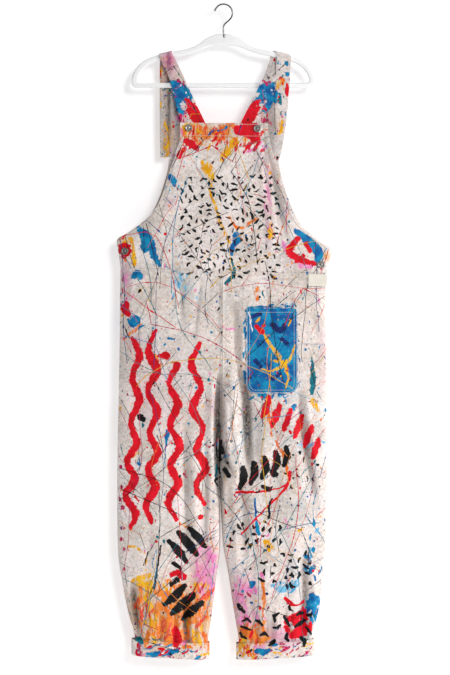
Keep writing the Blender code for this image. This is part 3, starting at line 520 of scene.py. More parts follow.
MOTIFS = strokes_of("""
    red -214,-782,5 -196,-826,9 -214,-874,7 -197,-926,10 -216,-980,7 -203,-1030,9 -226,-1072,7.5
    -207,-1112,10 -229,-1152,8 -206,-1192,9 -218,-1228,4; -158,-764,4 -176,-812,8 -156,-858,10.5
    -177,-906,7 -155,-954,10 -172,-1004,7 -154,-1050,9.5 -176,-1092,8 -158,-1132,10.5 -181,-1172,8
    -168,-1214,5; -108,-846,8.5 -127,-890,6 -107,-938,10.5 -125,-988,7 -102,-1034,9.5 -124,-1080,8
    -106,-1122,10 -129,-1164,8 -110,-1206,5; -56,-796,5 -75,-844,9 -53,-896,7 -72,-946,10 -48,-994,6.5
    -62,-1044,9 -42,-1086,10 -64,-1128,7 -44,-1172,5; -53,-1201,6.6; 90,-968,4.5 99,-948,9 106,-922,6;
    113,-988,5 122,-966,9.5 131,-940,6; 141,-996,5.5 149,-974,8.5 156,-950,5; 166,-1014,5 175,-990,9.5
    183,-966,6; 190,-1036,5 198,-1012,8.5 207,-990,5.5; 208,-1062,5.5 216,-1040,8.5 224,-1020,5
    crimson -207,-1112,6 -227,-1150,4; -109,-938,5 -126,-986,4; -73,-946,5 -50,-994,4; -178,-906,4.5
    -157,-954,5.5; -197,-924,5 -215,-978,4; -158,-1132,5 -178,-1168,4; -240,-1083,4.7; -239,-1130,5;
    -243,-1159,4.5; -237,-1180,5.2; -236,-1227,4.9; -239,-1253,4.5; -233,-1276,4.9; -230,-1323,4.5
    black -126,-1258,6 -107,-1278,10 -88,-1303,6.5; -104,-1238,7 -83,-1262,11.5 -64,-1287,6.5;
    -80,-1228,6 -60,-1248,9.5 -44,-1270,5.5; -116,-1309,5.6 -100,-1321,4.7; -136,-1404,5.5 -112,-1384,11
    -91,-1361,6; -121,-1426,6 -95,-1405,12 -70,-1382,7; -95,-1438,5.5 -72,-1419,10 -51,-1401,6;
    -121,-1358,5.2 -107,-1347,5.6; 38,-1134,5.5 47,-1110,9.5 45,-1086,6.5; 64,-1122,5.5 73,-1098,10
    71,-1074,7; 90,-1108,6 99,-1086,9.5 96,-1062,6; 115,-1096,5.5 125,-1074,9.5 121,-1050,6.5;
    140,-1080,5 149,-1060,8.5 146,-1038,5.5; -14,-1048,4 -9,-1066,6.5; 3,-1090,5 12,-1104,6;
    92,-1130,4.5 108,-1136,6
""")
STRAP_STROKES = strokes_of("""
    crimson -100,-263,5.5 -95,-277,5; 93,-270,4.5 95,-287,4; -107,-179,4 -93,-183,4.5; 93,-179,3
    100,-186,4.5 107,-190,3
    red -88,-223,4.5 -74,-240,8.5 -60,-256,11 -48,-275,7; -81,-247,6 -69,-263,9.5 -62,-275,8; 83,-226,5
    69,-240,8.5 55,-256,11 46,-275,7; 81,-244,5.5 67,-261,9.5 60,-275,8; 149,-186,3 149,-200,4.5
    149,-214,3
    blue -121,-186,8 -107,-202,9.5 -90,-219,9.5 -79,-233,7; -107,-183,6 -90,-200,7 -79,-216,7;
    -112,-214,7 -105,-233,8; -105,-247,7 -93,-254,5.5; 116,-190,8 102,-207,9.5 86,-221,9.5 72,-235,7;
    100,-188,7 83,-202,8; 112,-216,7 105,-237,8 95,-249,5.5; 123,-207,5 121,-228,4.5; 147,-139,5.5;
    149,-162,6
    orange 125,-200,4 132,-190,6 140,-177,5
    yellow 126,-197,4.5 135,-186,6; 137,-273,3.5 136,-287,5.5 130,-303,4
    teal 130,-209,2.5 134,-223,3 135,-235,2.5
    pink -107,-266,5.5
""")
POCKET_STROKES = strokes_of("""
    yellow 140,-846,8 130,-827,5.5 119,-811,4.5 105,-792,4 90,-766,2.5; 142,-844,4 159,-825,3
    166,-797,1.5; 142,-853,4.5 152,-874,3.5 145,-898,2; 135,-848,4 114,-860,3 88,-855,1.5; 147,-839,6;
    126,-839,3.5 109,-832,1.5; 76,-745,3 86,-736,2; 156,-740,3.5 152,-754,2
    orange 149,-855,4
    red 79,-757,6 90,-768,7; 93,-754,4
    crimson 88,-766,4
    white 60,-724,2.5 67,-766,1.5
    navy 114,-752,7 133,-766,7 142,-754,5.5; 147,-794,6 135,-785,4.5; 74,-837,6 86,-848,4.5; 116,-877,7
    130,-867,4.5; 67,-733,5.5 86,-726,4.5; 156,-881,4.5
    sky 65,-778,3.5 69,-806,2.5; 149,-724,3.5 135,-728,2.5; 105,-900,4 81,-895,3
""")


def join_strokes(*groups):
    """Several sets of strokes as one, colour by colour."""
    joined = {}
    for group in groups:
        for colour, strokes in group.items():
            joined.setdefault(colour, []).extend(strokes)
    return joined


def mixed(text):
    """Names of colours and their odds, from a text such as 'red3 blue2'."""
    names = re.findall("[a-z]+", text)
    shares = np.array(re.findall("[0-9]+", text), float)
    return names, shares / shares.sum()


def loose_drops(seed, low, high, count):
    """Drops 2 to 7 mm across that flew off a brush, some with a short tail."""
    dice = np.random.default_rng(seed)
    colours, odds = mixed("black14 blue17 teal16 red14 crimson12 orange6 yellow8 pink7 navy3 sky3")
    thrown = {}
    for _ in range(count):
        colour = dice.choice(colours, p=odds)
        x, z = dice.uniform(low, high)
        radius = 0.0011 + 0.0026 * dice.random() ** 2.6
        drop = [(x, z, radius)]
        if dice.random() < 0.3:
            drop.append((x + dice.normal(0, 0.002), z - dice.uniform(0.002, 0.007), radius * 0.4))
        thrown.setdefault(colour, []).append(np.array(drop))
    return thrown


def towards(x, z, angle, away):
    """The place at a distance from another one, in a direction."""
    return x + away * math.cos(angle), z + away * math.sin(angle)


def short_dabs(seed, low, high, count, halves=(0.0034, 0.0088), radii=(0.0019, 0.0035)):
    """Dabs of a dry black brush, lying every way, thicker in the middle and none touching."""
    dice = np.random.default_rng(seed)
    dabs, taken = [], np.full((1, 2), 9.0)
    for _ in range(count * 5):
        x, z = dice.uniform(low, high)
        heading, bend = dice.uniform(0, math.pi), dice.normal(0, 0.5)
        half, radius = dice.uniform(*halves), dice.uniform(*radii)
        dab = []
        for t, share in ((-1, 0.6), (0, 1.0), (1, 0.7)):
            angle = heading + bend * t
            dab.append((*towards(x, z, angle, t * half), radius * share))
        dab = np.array(dab)
        spots = np.vstack((dab, (dab[:-1] + dab[1:]) / 2))[:, :2]
        if np.hypot(*(spots[:, None] - taken).T).min() > 2 * radii[1] + 0.0008:
            taken = np.vstack((taken, spots))
            dabs.append(dab)
    return {"black": dabs[:count]}


def loose_strokes(seed, low, high, count, longest=0.07):
    """Brush strokes of every colour and heading, wandering and ragged in width."""
    dice = np.random.default_rng(seed)
    colours, odds = mixed("red17 blue16 yellow12 orange10 teal9 pink9 crimson9 black10 navy4 sky4")
    made = {}
    for _ in range(count):
        colour = dice.choice(colours, p=odds)
        point, heading = dice.uniform(low, high), dice.uniform(0, 2 * math.pi)
        width = 0.0014 + 0.0075 * dice.random() ** 1.8
        length = 0.006 + longest * dice.random() ** 1.6
        run = []
        for share in np.linspace(0, 1, 5):
            run.append((*point, width * dice.uniform(0.45, 1.1) * (1 - 0.4 * share)))
            heading += dice.normal(0, 0.45)
            point = towards(*point, heading, length / 4)
        made.setdefault(colour, []).append(rounded(np.array(run)))
    return made


def splashed(strokes, seed):
    """The same strokes with the small drops that land round every big one."""
    dice = np.random.default_rng(seed)
    extra = {}
    for colour, runs in strokes.items():
        for run in runs:
            for x, z, radius in run:
                if radius < 0.0042 or dice.random() > 0.8:
                    continue
                away = radius + dice.uniform(0.001, 0.009)
                angle = dice.uniform(0, 2 * math.pi)
                drop = towards(x, z, angle, away)
                size = dice.uniform(0.0007, 0.0017)
                spike = towards(x, z, angle, radius * 0.7)
                if dice.random() < 0.4:
                    extra.setdefault(colour, []).append(np.array([(*spike, size), (*drop, 0.0005)]))
                else:
                    extra.setdefault(colour, []).append(np.array([(*drop, size)]))
    return join_strokes(strokes, extra)


FAR = 0.02  # stored where no paint is near
# the dark wash is a little real dirt all over, and painted shade where it is laid thicker
WASHES = {
    "wash_pink": "#E58FC0", "wash_yellow": "#F2B25A", "wash_blue": "#9CC8DE",
    "wash_grime": "#524C48", "painted_crease_shade": "#5A524C",
}
SOILED = {"wash_pink": 0.05, "wash_yellow": 0.10, "wash_blue": 0.07, "wash_grime": 0.05}
CREASE_SHADE_DARKEST_AT = 0.022  # the depth of crease where the painted shade is darkest


def at_vertices(mesh, name):
    """A vector of every vertex, such as its place or its normal."""
    values = np.empty(len(mesh.vertices) * 3, np.float32)
    mesh.vertices.foreach_get(name, values)
    return values.reshape(-1, 3)


def store(mesh, name, values):
    attribute = mesh.attributes.new(name, "FLOAT", "POINT")
    attribute.data.foreach_set("value", values.astype(np.float32))


def lay_paint(made, strokes, washes=(), everywhere=SOILED, folds=(), facing=0):
    """Stores on each vertex how far outside each colour's paint it lies, and the washes;
    facing is the way of y that the painted face looks, and the other face stays clean."""
    mesh = made.data
    inside = at_vertices(mesh, "normal")[:, 1] * facing < -0.3
    x, _, z = at_vertices(mesh, "co").T.astype(float)
    # hand-thrown paint wanders: no stroke stays true to its line
    wander_x = 0.0007 * np.sin(240 * z + 90 * x) + 0.0004 * np.sin(610 * z - 330 * x + 1)
    wander_z = 0.0007 * np.sin(260 * x - 70 * z + 2) + 0.0004 * np.sin(570 * x + 410 * z)
    x_w, z_w = x + wander_x, z + wander_z
    for colour in PAINTS:
        nearest = np.full(len(x), FAR)
        for run in strokes.get(colour, ()):
            reach = run[:, 2].max() + 0.006
            low, high = run[:, :2].min(0) - reach, run[:, :2].max(0) + reach
            close = np.nonzero((x_w > low[0]) & (x_w < high[0]) & (z_w > low[1]) & (z_w < high[1]))[0]
            if not len(close):
                continue
            px, pz = x_w[close, None], z_w[close, None]
            a, b = (run[:-1], run[1:]) if len(run) > 1 else (run, run + 1e-6)
            ab = (b - a)[:, :2]
            span = np.maximum((ab**2).sum(1), 1e-12)
            t = np.clip(((px - a[:, 0]) * ab[:, 0] + (pz - a[:, 1]) * ab[:, 1]) / span, 0, 1)
            gap = np.hypot(px - a[:, 0] - t * ab[:, 0], pz - a[:, 1] - t * ab[:, 1])
            half = a[:, 2] + t * (b[:, 2] - a[:, 2])
            # wide paint gets a more ragged edge than a thin run, so its distance counts less
            gap = (gap - half) * np.clip(0.0022 / half, 0.34, 1)
            nearest[close] = np.minimum(nearest[close], gap.min(1))
        nearest[inside] = FAR
        store(mesh, colour, nearest)
    for wash in WASHES:
        strength = np.full(len(x), everywhere.get(wash, 0.0))
        if wash == "painted_crease_shade" and folds:
            # painted shade in the creases, darker the deeper each crease goes
            strength = np.clip(creased(folds, [], x, z) / CREASE_SHADE_DARKEST_AT, 0, 1) ** 1.25
        for name, cx, cz, rx, rz, most in washes:
            if name == wash:
                r = ((x - cx / 1000) / rx * 1000) ** 2 + ((z - cz / 1000) / rz * 1000) ** 2
                strength = np.maximum(strength, most * np.exp(-r))
        store(mesh, wash, strength)


def linear(text):
    """An sRGB hex colour as linear RGBA."""
    parts = [int(text[i:i + 2], 16) / 255 for i in (1, 3, 5)]
    return tuple(c / 12.92 if c <= 0.04045 else ((c + 0.055) / 1.055) ** 2.4 for c in parts) + (1,)


def feed(tree, node, inputs):
    """Sets or links a node's inputs; a text is a hex colour."""
    for socket, value in inputs.items():
        if isinstance(value, bpy.types.NodeSocket):
            tree.links.new(value, node.inputs[socket])
        else:
            node.inputs[socket].default_value = linear(value) if isinstance(value, str) else value


def add(tree, kind, inputs=None, **settings):
    """Adds a node with its settings and its inputs, and returns it."""
    node = tree.nodes.new("ShaderNode" + kind)
    for name, value in settings.items():
        setattr(node, name, value)
    feed(tree, node, inputs or {})
    return node


PAINTS = {
    # colour: (thin, thick, raggedness of its edge in metres)
    "yellow": ("#EFB724", "#E09A08", 0.0034),
    "orange": ("#EE8A35", "#E06A1E", 0.0040),
    "pink": ("#E79CC4", "#DE74AE", 0.0046),
    "crimson": ("#C41C58", "#9C0C3C", 0.0034),
    "red": ("#E10824", "#C60416", 0.0026),
    "coral": ("#E65D40", "#D8402A", 0.0044),
    "sky": ("#7FBFDD", "#4FA3CF", 0.0044),
    "teal": ("#157986", "#0E5E70", 0.0018),
    "blue": ("#0A8AB6", "#045698", 0.0030),
    "navy": ("#15347C", "#0D2253", 0.0024),
    "black": ("#161618", "#0B0B0D", 0.0018),
    "white": ("#EFECE8", "#E2DEDA", 0.0036),
    "bare": ("#EFEAE5", "#DCD4CD", 0.0022),
}
DRY_BRUSHED = 0.003  # colours rougher than this run dry in streaks too
SPECKS = ("#1A7FA8", "#1B1B1E", "#E0243A", "#2A7A80", "#E9A91E", "#D8478F", "#2D5CA8", "#F2F0EC")


def new_material(name):
    """A fresh material, its nodes, its shader and the place on the object."""
    made = bpy.data.materials.new(name)
    made.use_nodes = True
    tree = made.node_tree
    return made, tree, tree.nodes["Principled BSDF"], add(tree, "TexCoord").outputs["Object"]


def noise(tree, place, scale, detail, roughness=0.5):
    inputs = {"Vector": place, "Scale": scale, "Detail": detail, "Roughness": roughness}
    return add(tree, "TexNoise", inputs)


def calc(tree, operation, *values, **settings):
    """The result of one sum."""
    return add(tree, "Math", dict(enumerate(values)), operation=operation, **settings).outputs[0]


def fitted(tree, value, low, high, to_low=0.0, to_high=1.0):
    """A value's range brought to another one, and held inside it."""
    return add(tree, "MapRange", {0: value, 1: low, 2: high, 3: to_low, 4: to_high}).outputs[0]


def blended(tree, share, under, over, **settings):
    """One colour over another."""
    return add(tree, "Mix", {0: share, 6: under, 7: over}, data_type="RGBA", **settings).outputs[2]


def bumped(tree, shader, height, strength, distance):
    bump = add(tree, "Bump", {"Height": height, "Strength": strength, "Distance": distance})
    tree.links.new(bump.outputs[0], shader.inputs["Normal"])


def painted_cloth(name, ground, shade, order, specks=1.0):
    """Canvas with spatter, washes and strokes over it; order runs from under to over."""
    made, tree, shader, place = new_material(name)

    # washed canvas: slow blotches and the mottle of its slubs
    blotch = noise(tree, place, 14, 4, 0.6)
    mottle = noise(tree, place, 150, 3, 0.7).outputs[0]
    slubs = fitted(tree, calc(tree, "ADD", blotch.outputs[0], mottle), 0.78, 1.18)
    cloth = blended(tree, slubs, shade, ground)
    coarse, crisp = noise(tree, place, 80, 2, 0.6), noise(tree, place, 330, 4, 0.85)
    ragged = calc(tree, "ADD", coarse.outputs[0], crisp.outputs[0])
    ragged = calc(tree, "SUBTRACT", ragged, 1.0)
    # the brush ran dry in places and left the cloth bare in streaks
    drawn = add(tree, "Mapping", {0: place, "Rotation": (0, 0.5, 0), "Scale": (1, 1, 0.22)})
    streaks = noise(tree, drawn.outputs[0], 230, 3, 0.7)
    dry = fitted(tree, streaks.outputs[0], 0.53, 0.64, 0.0, 0.0042)

    # thin washes that soaked in, a dark wash that is partly dirt and partly painted shade, and painted
    # shade in the creases
    clouds = add(tree, "SeparateColor", {0: blotch.outputs["Color"]}).outputs
    drift = (clouds[0], clouds[1], clouds[2], blotch.outputs[0], mottle)
    for (wash, colour), cloud in zip(WASHES.items(), drift):
        amount = add(tree, "Attribute", attribute_name=wash).outputs["Fac"]
        cloudy = fitted(tree, cloud, 0.36, 0.62, 0.2, 1.35)
        soaked = calc(tree, "MULTIPLY", amount, cloudy, use_clamp=True)
        cloth = blended(tree, soaked, cloth, colour, blend_type="MULTIPLY")

    # fine spatter, three sizes of it, thicker in some places than in others
    for cells, largest, share in ((66, 0.19, 0.70), (135, 0.25, 0.90), (270, 0.30, 0.95)):
        spot = add(tree, "TexVoronoi", {"Vector": place, "Scale": cells, "Randomness": 1.0}).outputs
        chance = add(tree, "SeparateColor", {0: spot["Color"]}).outputs
        size = calc(tree, "MULTIPLY", calc(tree, "POWER", chance[0], 2.2), largest)
        drop = fitted(tree, calc(tree, "SUBTRACT", size, spot[0]), 0.0, 0.02)
        patchy = noise(tree, place, 9 + cells / 20, 2).outputs[0]
        limit = fitted(tree, patchy, 0.35, 0.65, 0.0, share * specks * 1.7)
        drop = calc(tree, "MULTIPLY", drop, calc(tree, "LESS_THAN", chance[1], limit))
        ramp = add(tree, "ValToRGB", {0: chance[2]})
        ramp.color_ramp.interpolation = "CONSTANT"
        for i, speck in enumerate(SPECKS):
            stop = ramp.color_ramp.elements[i] if i < 2 else ramp.color_ramp.elements.new(0.5)
            stop.position = i / len(SPECKS)
            stop.color = linear(speck)
        cloth = blended(tree, drop, cloth, ramp.outputs[0])

    # strokes and drops, each from its own distance, its edge roughened
    film = None
    patch = fitted(tree, noise(tree, place, 48, 3, 0.6).outputs[0], 0.4, 0.6)
    for colour in order:
        thin, thick, rough = PAINTS[colour]
        away = add(tree, "Attribute", attribute_name=colour).outputs["Fac"]
        shifted = calc(tree, "MULTIPLY_ADD", ragged, rough, away)
        if rough > DRY_BRUSHED:
            shifted = calc(tree, "ADD", shifted, dry)
        mask = fitted(tree, shifted, 0.00018, -0.00018)
        cloth = blended(tree, mask, cloth, blended(tree, patch, thin, thick))
        film = mask if film is None else calc(tree, "MAXIMUM", film, mask)

    # dry canvas is matt, paint has a slight gloss
    rough = fitted(tree, film, 0.0, 1.0, 0.95, 0.6)
    feed(tree, shader, {"Base Color": cloth, "Roughness": rough, "Specular IOR Level": 0.18})

    # plain weave of 0.5 mm threads, drawn at 1 mm so that it holds at a distance
    axes = add(tree, "SeparateXYZ", {0: place}).outputs
    warp, weft = [calc(tree, "SINE", calc(tree, "MULTIPLY", axis, 6283.0)) for axis in (axes[0], axes[2])]
    weave = calc(tree, "MULTIPLY_ADD", calc(tree, "MULTIPLY", warp, weft), 0.12, mottle)
    bumped(tree, shader, calc(tree, "MULTIPLY_ADD", film, 0.55, weave), 0.5, 0.0006)
    return made


ORDER = "sky yellow orange pink coral crimson blue teal navy red black white bare".split()
CANVAS = painted_cloth("spattered_canvas", "#FBF6F2", "#CCC4BE", ORDER, 2.2)


def read_washes(text):
    """Soaked-in washes: kind, middle x,z, half width,height and strength; millimetres."""
    washes = []
    for part in text.split(";"):
        kind, middle, size, most = part.split()
        numbers = [float(number) for number in (middle + "," + size).split(",")]
        washes.append(("wash_" + kind, *numbers, float(most)))
    return washes


# its dark wash rows are painted shade in the fold valleys, the crotch, along the bib's right edge and
# under the waist seam
GARMENT_WASHES = read_washes("""
    pink -227,-650 13,45 0.75; pink -42,-1330 28,70 0.85; pink 44,-1400 34,60 0.8;
    pink 92,-368 28,30 0.4; pink -206,-792 20,20 0.6; pink -27,-942 18,24 0.35;
    pink 233,-830 12,80 0.35; pink 147,-470 12,40 0.5; pink 168,-606 36,18 0.35;
    pink -128,-466 14,16 0.4; pink -150,-900 90,120 0.2; pink 130,-1480 50,30 0.55;
    yellow -140,-1430 80,80 0.95; yellow 62,-1478 40,34 0.85; yellow -66,-1420 46,82 0.85;
    yellow -30,-302 80,24 0.7; yellow -236,-548 15,13 0.65; yellow 240,-590 15,15 0.65;
    yellow 203,-916 24,46 0.25; yellow -10,-380 70,60 0.22; yellow 108,-960 24,60 0.18;
    blue -100,-658 30,38 0.55; blue 150,-1368 24,15 0.65; blue 187,-1034 17,22 0.55;
    blue 180,-1164 20,52 0.28; blue 110,-918 52,14 0.4; blue 190,-1460 20,50 0.35;
    grime 52,-960 9,120 0.4; grime 2,-1078 9,34 1.; grime -12,-1000 9,115 1;
    grime -8,-1130 10,70 0.52; grime -200,-634 50,3.5 0.37; grime 170,-645 80,3.5 0.37;
    pink 104,-470 10,110 0.55; grime 104,-520 9,80 0.26; yellow 40,-900 60,60 0.2;
    grime 34,-1212 24,118 0.13; grime 128,-420 14,90 0.18; grime -222,-1440 11,70 0.44;
    grime 56,-980 9,90 0.26; grime 66,-1130 16,90 0.16
""")


def brushed_patch(seed, low, high, count, colours, lengths, widths, heading):
    """A patch worked over again and again with a half dry brush in several colours."""
    dice = np.random.default_rng(seed)
    names, odds = mixed(colours)
    patch = {}
    for _ in range(count):
        x, z = dice.uniform(low, high) / 1000
        angle = heading + dice.normal(0, 0.35)
        half, width = dice.uniform(*lengths) / 2000, dice.uniform(*widths) / 1000
        run = []
        for t, share in ((-1, 0.7), (-0.3, 1.0), (0.4, 0.85), (1, 0.45)):
            angle += dice.normal(0, 0.12)
            run.append((*towards(x, z, angle, t * half), width * share))
        patch.setdefault(dice.choice(names, p=odds), []).append(rounded(np.array(run)))
    return patch


def worked_over(text):
    """Such patches from rows of seed, low and high corner, number of strokes, colours with
    their shares, shortest and longest, thinnest and thickest, heading; millimetres."""
    patches = []
    for row in text.strip().splitlines():
        seed, *pairs, heading = row.split()
        count, colours = int(pairs.pop(2)), pairs.pop(2)
        low, high, lengths, widths = [tuple(map(float, pair.split(","))) for pair in pairs]
        patches.append(
            brushed_patch(int(seed), low, high, count, colours, lengths, widths, float(heading))
        )
    return patches


# The bib's hem, both leg ends, the right shin, the cuffs, the blue off the pocket's edges,
# dark smears down in the crotch, partly paint and partly painted shade in its fold, the
# armhole edges, and a few touches over the hips.
WORKED = worked_over("""
    81 -96,-336 96,-282 54 red3,coral4,yellow2,orange4 10,24 1.4,3.4 1.2
    82 -204,-1500 -34,-1362 66 yellow4,orange6,coral3 16,44 2.6,6 1.45
    83 28,-1508 104,-1446 20 orange4,coral3,yellow2,red1 12,30 2.4,5 1
    84 146,-1490 206,-1418 20 red5,crimson2 10,26 2.4,6 2.1
    85 188,-1470 228,-1380 16 blue5,sky2 12,30 2,5.2 1.8
    86 190,-1370 228,-1210 14 blue4,sky2 10,24 1.6,4.6 1.5
    87 -244,-720 -222,-624 16 pink3,crimson2 8,20 1.6,4 1.5
    88 -206,-1536 -40,-1494 44 blue3,red2,crimson3,white2,orange2,pink3 8,24 1.4,4 0.4
    89 36,-1536 206,-1496 42 yellow3,blue2,crimson3,white2,pink3,orange1 8,24 1.4,4 0.4
    107 -206,-1538 -184,-1498 9 red5,crimson2 8,16 2.4,5 1.4
    108 38,-1538 76,-1498 13 yellow4,orange4,red2 8,20 2.2,5 0.7
    109 150,-1534 192,-1502 6 black4,crimson3 8,20 1.4,3.2 0.6
    94 46,-910 54,-706 15 blue4,sky2 8,22 0.8,2.6 1.55
    95 52,-922 172,-913 13 blue4,sky2 8,22 0.8,2.6 0.1
    96 54,-711 172,-703 11 blue4,sky2 8,22 0.8,2.2 0.1
    97 172,-900 177,-712 9 blue4,sky2 8,18 0.6,1.8 1.55
    90 28,-1450 96,-1330 15 pink5,crimson1 10,30 2,5 1.9
    91 -66,-1380 -16,-1262 14 pink5,crimson1 10,30 2.4,5.6 1.3
    92 -124,-690 -74,-634 10 sky1 10,26 1.4,4 1.5
    93 120,-1374 172,-1352 9 sky1 12,26 2,4.4 0.4
    98 -20,-1125 -6,-1010 15 black6,navy1,crimson1,teal1 8,30 1,3.4 1.5
    99 96,-560 118,-380 9 pink3,crimson1 8,30 0.8,2.4 1.8
    101 -240,-600 -226,-540 9 yellow3,orange2,red1 8,20 2,4.4 1.5
    102 -98,-312 -48,-284 13 yellow3,orange4,pink1 8,20 1.4,3.8 1.1
    103 38,-346 98,-284 20 red6,crimson2,pink2 8,24 1.6,4.6 1.0
    104 -44,-312 14,-283 9 blue3,orange2,crimson1 8,18 1.4,3.6 0.7
    105 -246,-780 -150,-640 9 pink2,blue2,yellow2,crimson1 5,20 0.8,2.8 0.9
    106 60,-700 226,-640 9 pink2,blue2,teal2,crimson1 5,20 0.8,2.4 1.2
""")


# low and high corners of the places that paint was thrown at
LEG_AREA = (-0.245, -1.54), (0.245, -0.56)
BIB_AREA = (-0.15, -0.60), (0.16, -0.30)
BACK_AREA = (-0.245, -1.54), (0.245, -0.37)
FRONT_PAINT = splashed(
    join_strokes(
        *WORKED, PLACED, MOTIFS,
        loose_drops(11, *LEG_AREA, 900),
        loose_drops(12, *BIB_AREA, 150),
        short_dabs(13, (-0.100, -0.640), (0.128, -0.405), 225),
        short_dabs(14, (0.014, -1.280), (0.136, -1.212), 22, (0.004, 0.009), (0.0026, 0.0040)),
        short_dabs(15, (0.085, -1.365), (0.215, -1.285), 22, (0.004, 0.009), (0.0026, 0.0040)),
        short_dabs(16, (0.028, -1.495), (0.200, -1.415), 24, (0.006, 0.014), (0.0036, 0.0056)),
        short_dabs(17, (0.080, -1.160), (0.230, -1.060), 14, (0.003, 0.008), (0.0016, 0.0030)),
        loose_strokes(18, (-0.245, -1.54), (0.245, -0.60), 46, 0.05),
    ), 5,
)
BACK_PAINT = splashed(
    join_strokes(
        loose_strokes(20, *BACK_AREA, 330, 0.07),
        *worked_over("""
        22 -200,-1500 -46,-1384 84 yellow4,orange5,coral3 14,40 2,5.5 1.5
        23 46,-1500 196,-1400 70 blue4,sky2,pink3,navy1 14,36 2,5 1.5
        24 -160,-580 -60,-480 34 red3,crimson2,pink2 10,30 1.6,4.5 0.8
        26 70,-1010 170,-900 26 red5,crimson2,coral1 14,34 2.4,6 1.45
        27 80,-620 190,-520 26 blue4,sky2,teal2 10,34 1.8,5 2.2
        28 -200,-900 -80,-760 24 yellow4,orange2,pink2 12,36 1.6,5 1.1
        29 70,-800 190,-730 16 black3,navy1 8,22 1.8,4.5 0.5
        """),
        loose_drops(21, *BACK_AREA, 900),
        short_dabs(25, (-0.20, -1.02), (-0.05, -0.86), 46),
    ), 6,
)
# its dark wash row darkens the cloth round the crotch
BACK_WASHES = read_washes("""
    pink -170,-760 50,80 0.4; pink 120,-1380 60,70 0.35; yellow 130,-1430 60,70 0.45;
    yellow -110,-1440 70,60 0.4; blue 60,-700 60,50 0.35; blue -150,-1150 50,90 0.3;
    grime 0,-1010 30,90 0.22; yellow 40,-470 70,50 0.25
""")

front_folds = read_lines(FRONT_FOLDS) + gathers(301)
back_folds = read_lines(BACK_FOLDS) + gathers(302)
front_ridges, back_ridges = read_lines(FRONT_RIDGES), read_lines(BACK_RIDGES)

FRONT, BACK = (front_folds, front_ridges, -1), (back_folds, back_ridges, 1)


def panel(name, grid, facing, *nodes):
    """A panel of the canvas with its paint, in its solids' place."""
    made = cloth_sheet(name, grid, CLOTH)
    if facing < 0:
        lay_paint(made, FRONT_PAINT, GARMENT_WASHES, folds=front_folds, facing=facing)
    else:
        lay_paint(made, BACK_PAINT, BACK_WASHES, folds=back_folds, facing=facing)
    dressed(made, CANVAS, "painted_canvas", *nodes)
    return made


heights = np.linspace(BIB_TOP, WAIST, 180)
grid = bib_grid(BIB_FRONT, *FRONT, heights, spread(165), 0.4)
bib_front = panel("bib_front_panel", grid, -1, "bib_front")
heights = np.linspace(BACK_TOP, WAIST, 100)
grid = bib_grid(BIB_BACK, *BACK, heights, spread(120), 3.1)
bib_back = panel("bib_back_panel", grid, 1, "bib_back")
legs = {}
for side, name in ((-1, "left"), (1, "right")):
    for layer, creases, down, across, seed in (
        ("front", FRONT, 370, 108, 1.3), ("back", BACK, 230, 72, 5.2),
    ):
        heights = np.linspace(WAIST - GAP, LEG_END, down)
        grid = leg_grid(side, *creases, heights, spread(across), seed + side)
        part = f"{layer}_{name}"
        legs[layer, name] = panel(
            f"leg_{layer}_panel_{name}", grid, creases[2], "hip_" + part, "leg_" + part
        )


def surface(made):
    """The finished surface of an object, for what lies on it."""
    faces = [tuple(p.vertices) for p in made.data.polygons]
    return BVHTree.FromPolygons(at_vertices(made.data, "co").tolist(), faces)


def met_from(tree, x, z, facing=-1):
    """Where the surface is met from the front (or back), and the way it faces there."""
    hit, normal, _, _ = tree.ray_cast(Vector((x, facing, z)), Vector((0, -facing, 0)))
    if hit is None:
        return None, None
    return hit, normal if normal.y * facing > 0 else -normal


def met_nearest(trees, x, z, facing):
    """The outermost of several surfaces at a place, or None past all their edges."""
    best = None
    for tree in trees:
        met, normal = met_from(tree, x, z, facing)
        if met is not None and (best is None or met.y * facing > best[0].y * facing):
            best = (met, normal)
    return best


bib_tree = surface(bib_front)
bib_back_tree = surface(bib_back)
thigh_tree = surface(legs["front", "right"])

# ======== Bib hem
# The bib's turned-over top edge, 33 mm deep, one more layer of the same canvas stitched
# down along its foot.

HEM = 0.0014
HEM_FOOT = BIB_TOP - 0.033
heights = np.linspace(BIB_TOP, HEM_FOOT, 20)
hem_grid = bib_grid(BIB_FRONT, front_folds, [], -1, heights, spread(125), 0.4)[:, 1:-1]
roll = np.clip((BIB_TOP - heights) / 0.004, 0, 1)[:, None]
foot = np.clip((heights - HEM_FOOT) / 0.003, 0, 1)[:, None]
hem_grid[:, :, 1] -= CLOTH / 2 + GAP + HEM / 2 + 0.0003 * roll * foot
bib_hem = cloth_sheet("bib_top_hem", hem_grid, HEM)
lay_paint(bib_hem, FRONT_PAINT, GARMENT_WASHES, facing=-1)
dressed(bib_hem, CANVAS, "painted_canvas", "bib_hem")

# ======== Turned-up hems
# Each leg end is rolled up 40 mm twice, so a tube of doubled canvas goes down the outside,
# round the bottom and in under the leg; its fold is soft and its edge a little wavy.

CUFF = 0.0020
CUFF_DEPTH = 0.0342
CUFF_FOOT = -1.5318


def ring(outer, inner, depth, turn, z, rise):
    """Points round a leg's closed section."""
    angle = 2 * np.pi * turn
    x = outer + (inner - outer) * (1 - np.cos(angle)) / 2
    swell = np.abs(np.sin(angle)) ** SQUARENESS
    y = np.where(swell > 1e-3, (STRIP + (depth - STRIP) * swell) * -np.sign(np.sin(angle)), 0)
    return np.stack((x, y, z + rise * (np.abs(x) - LEG_MIDDLE)), axis=-1)


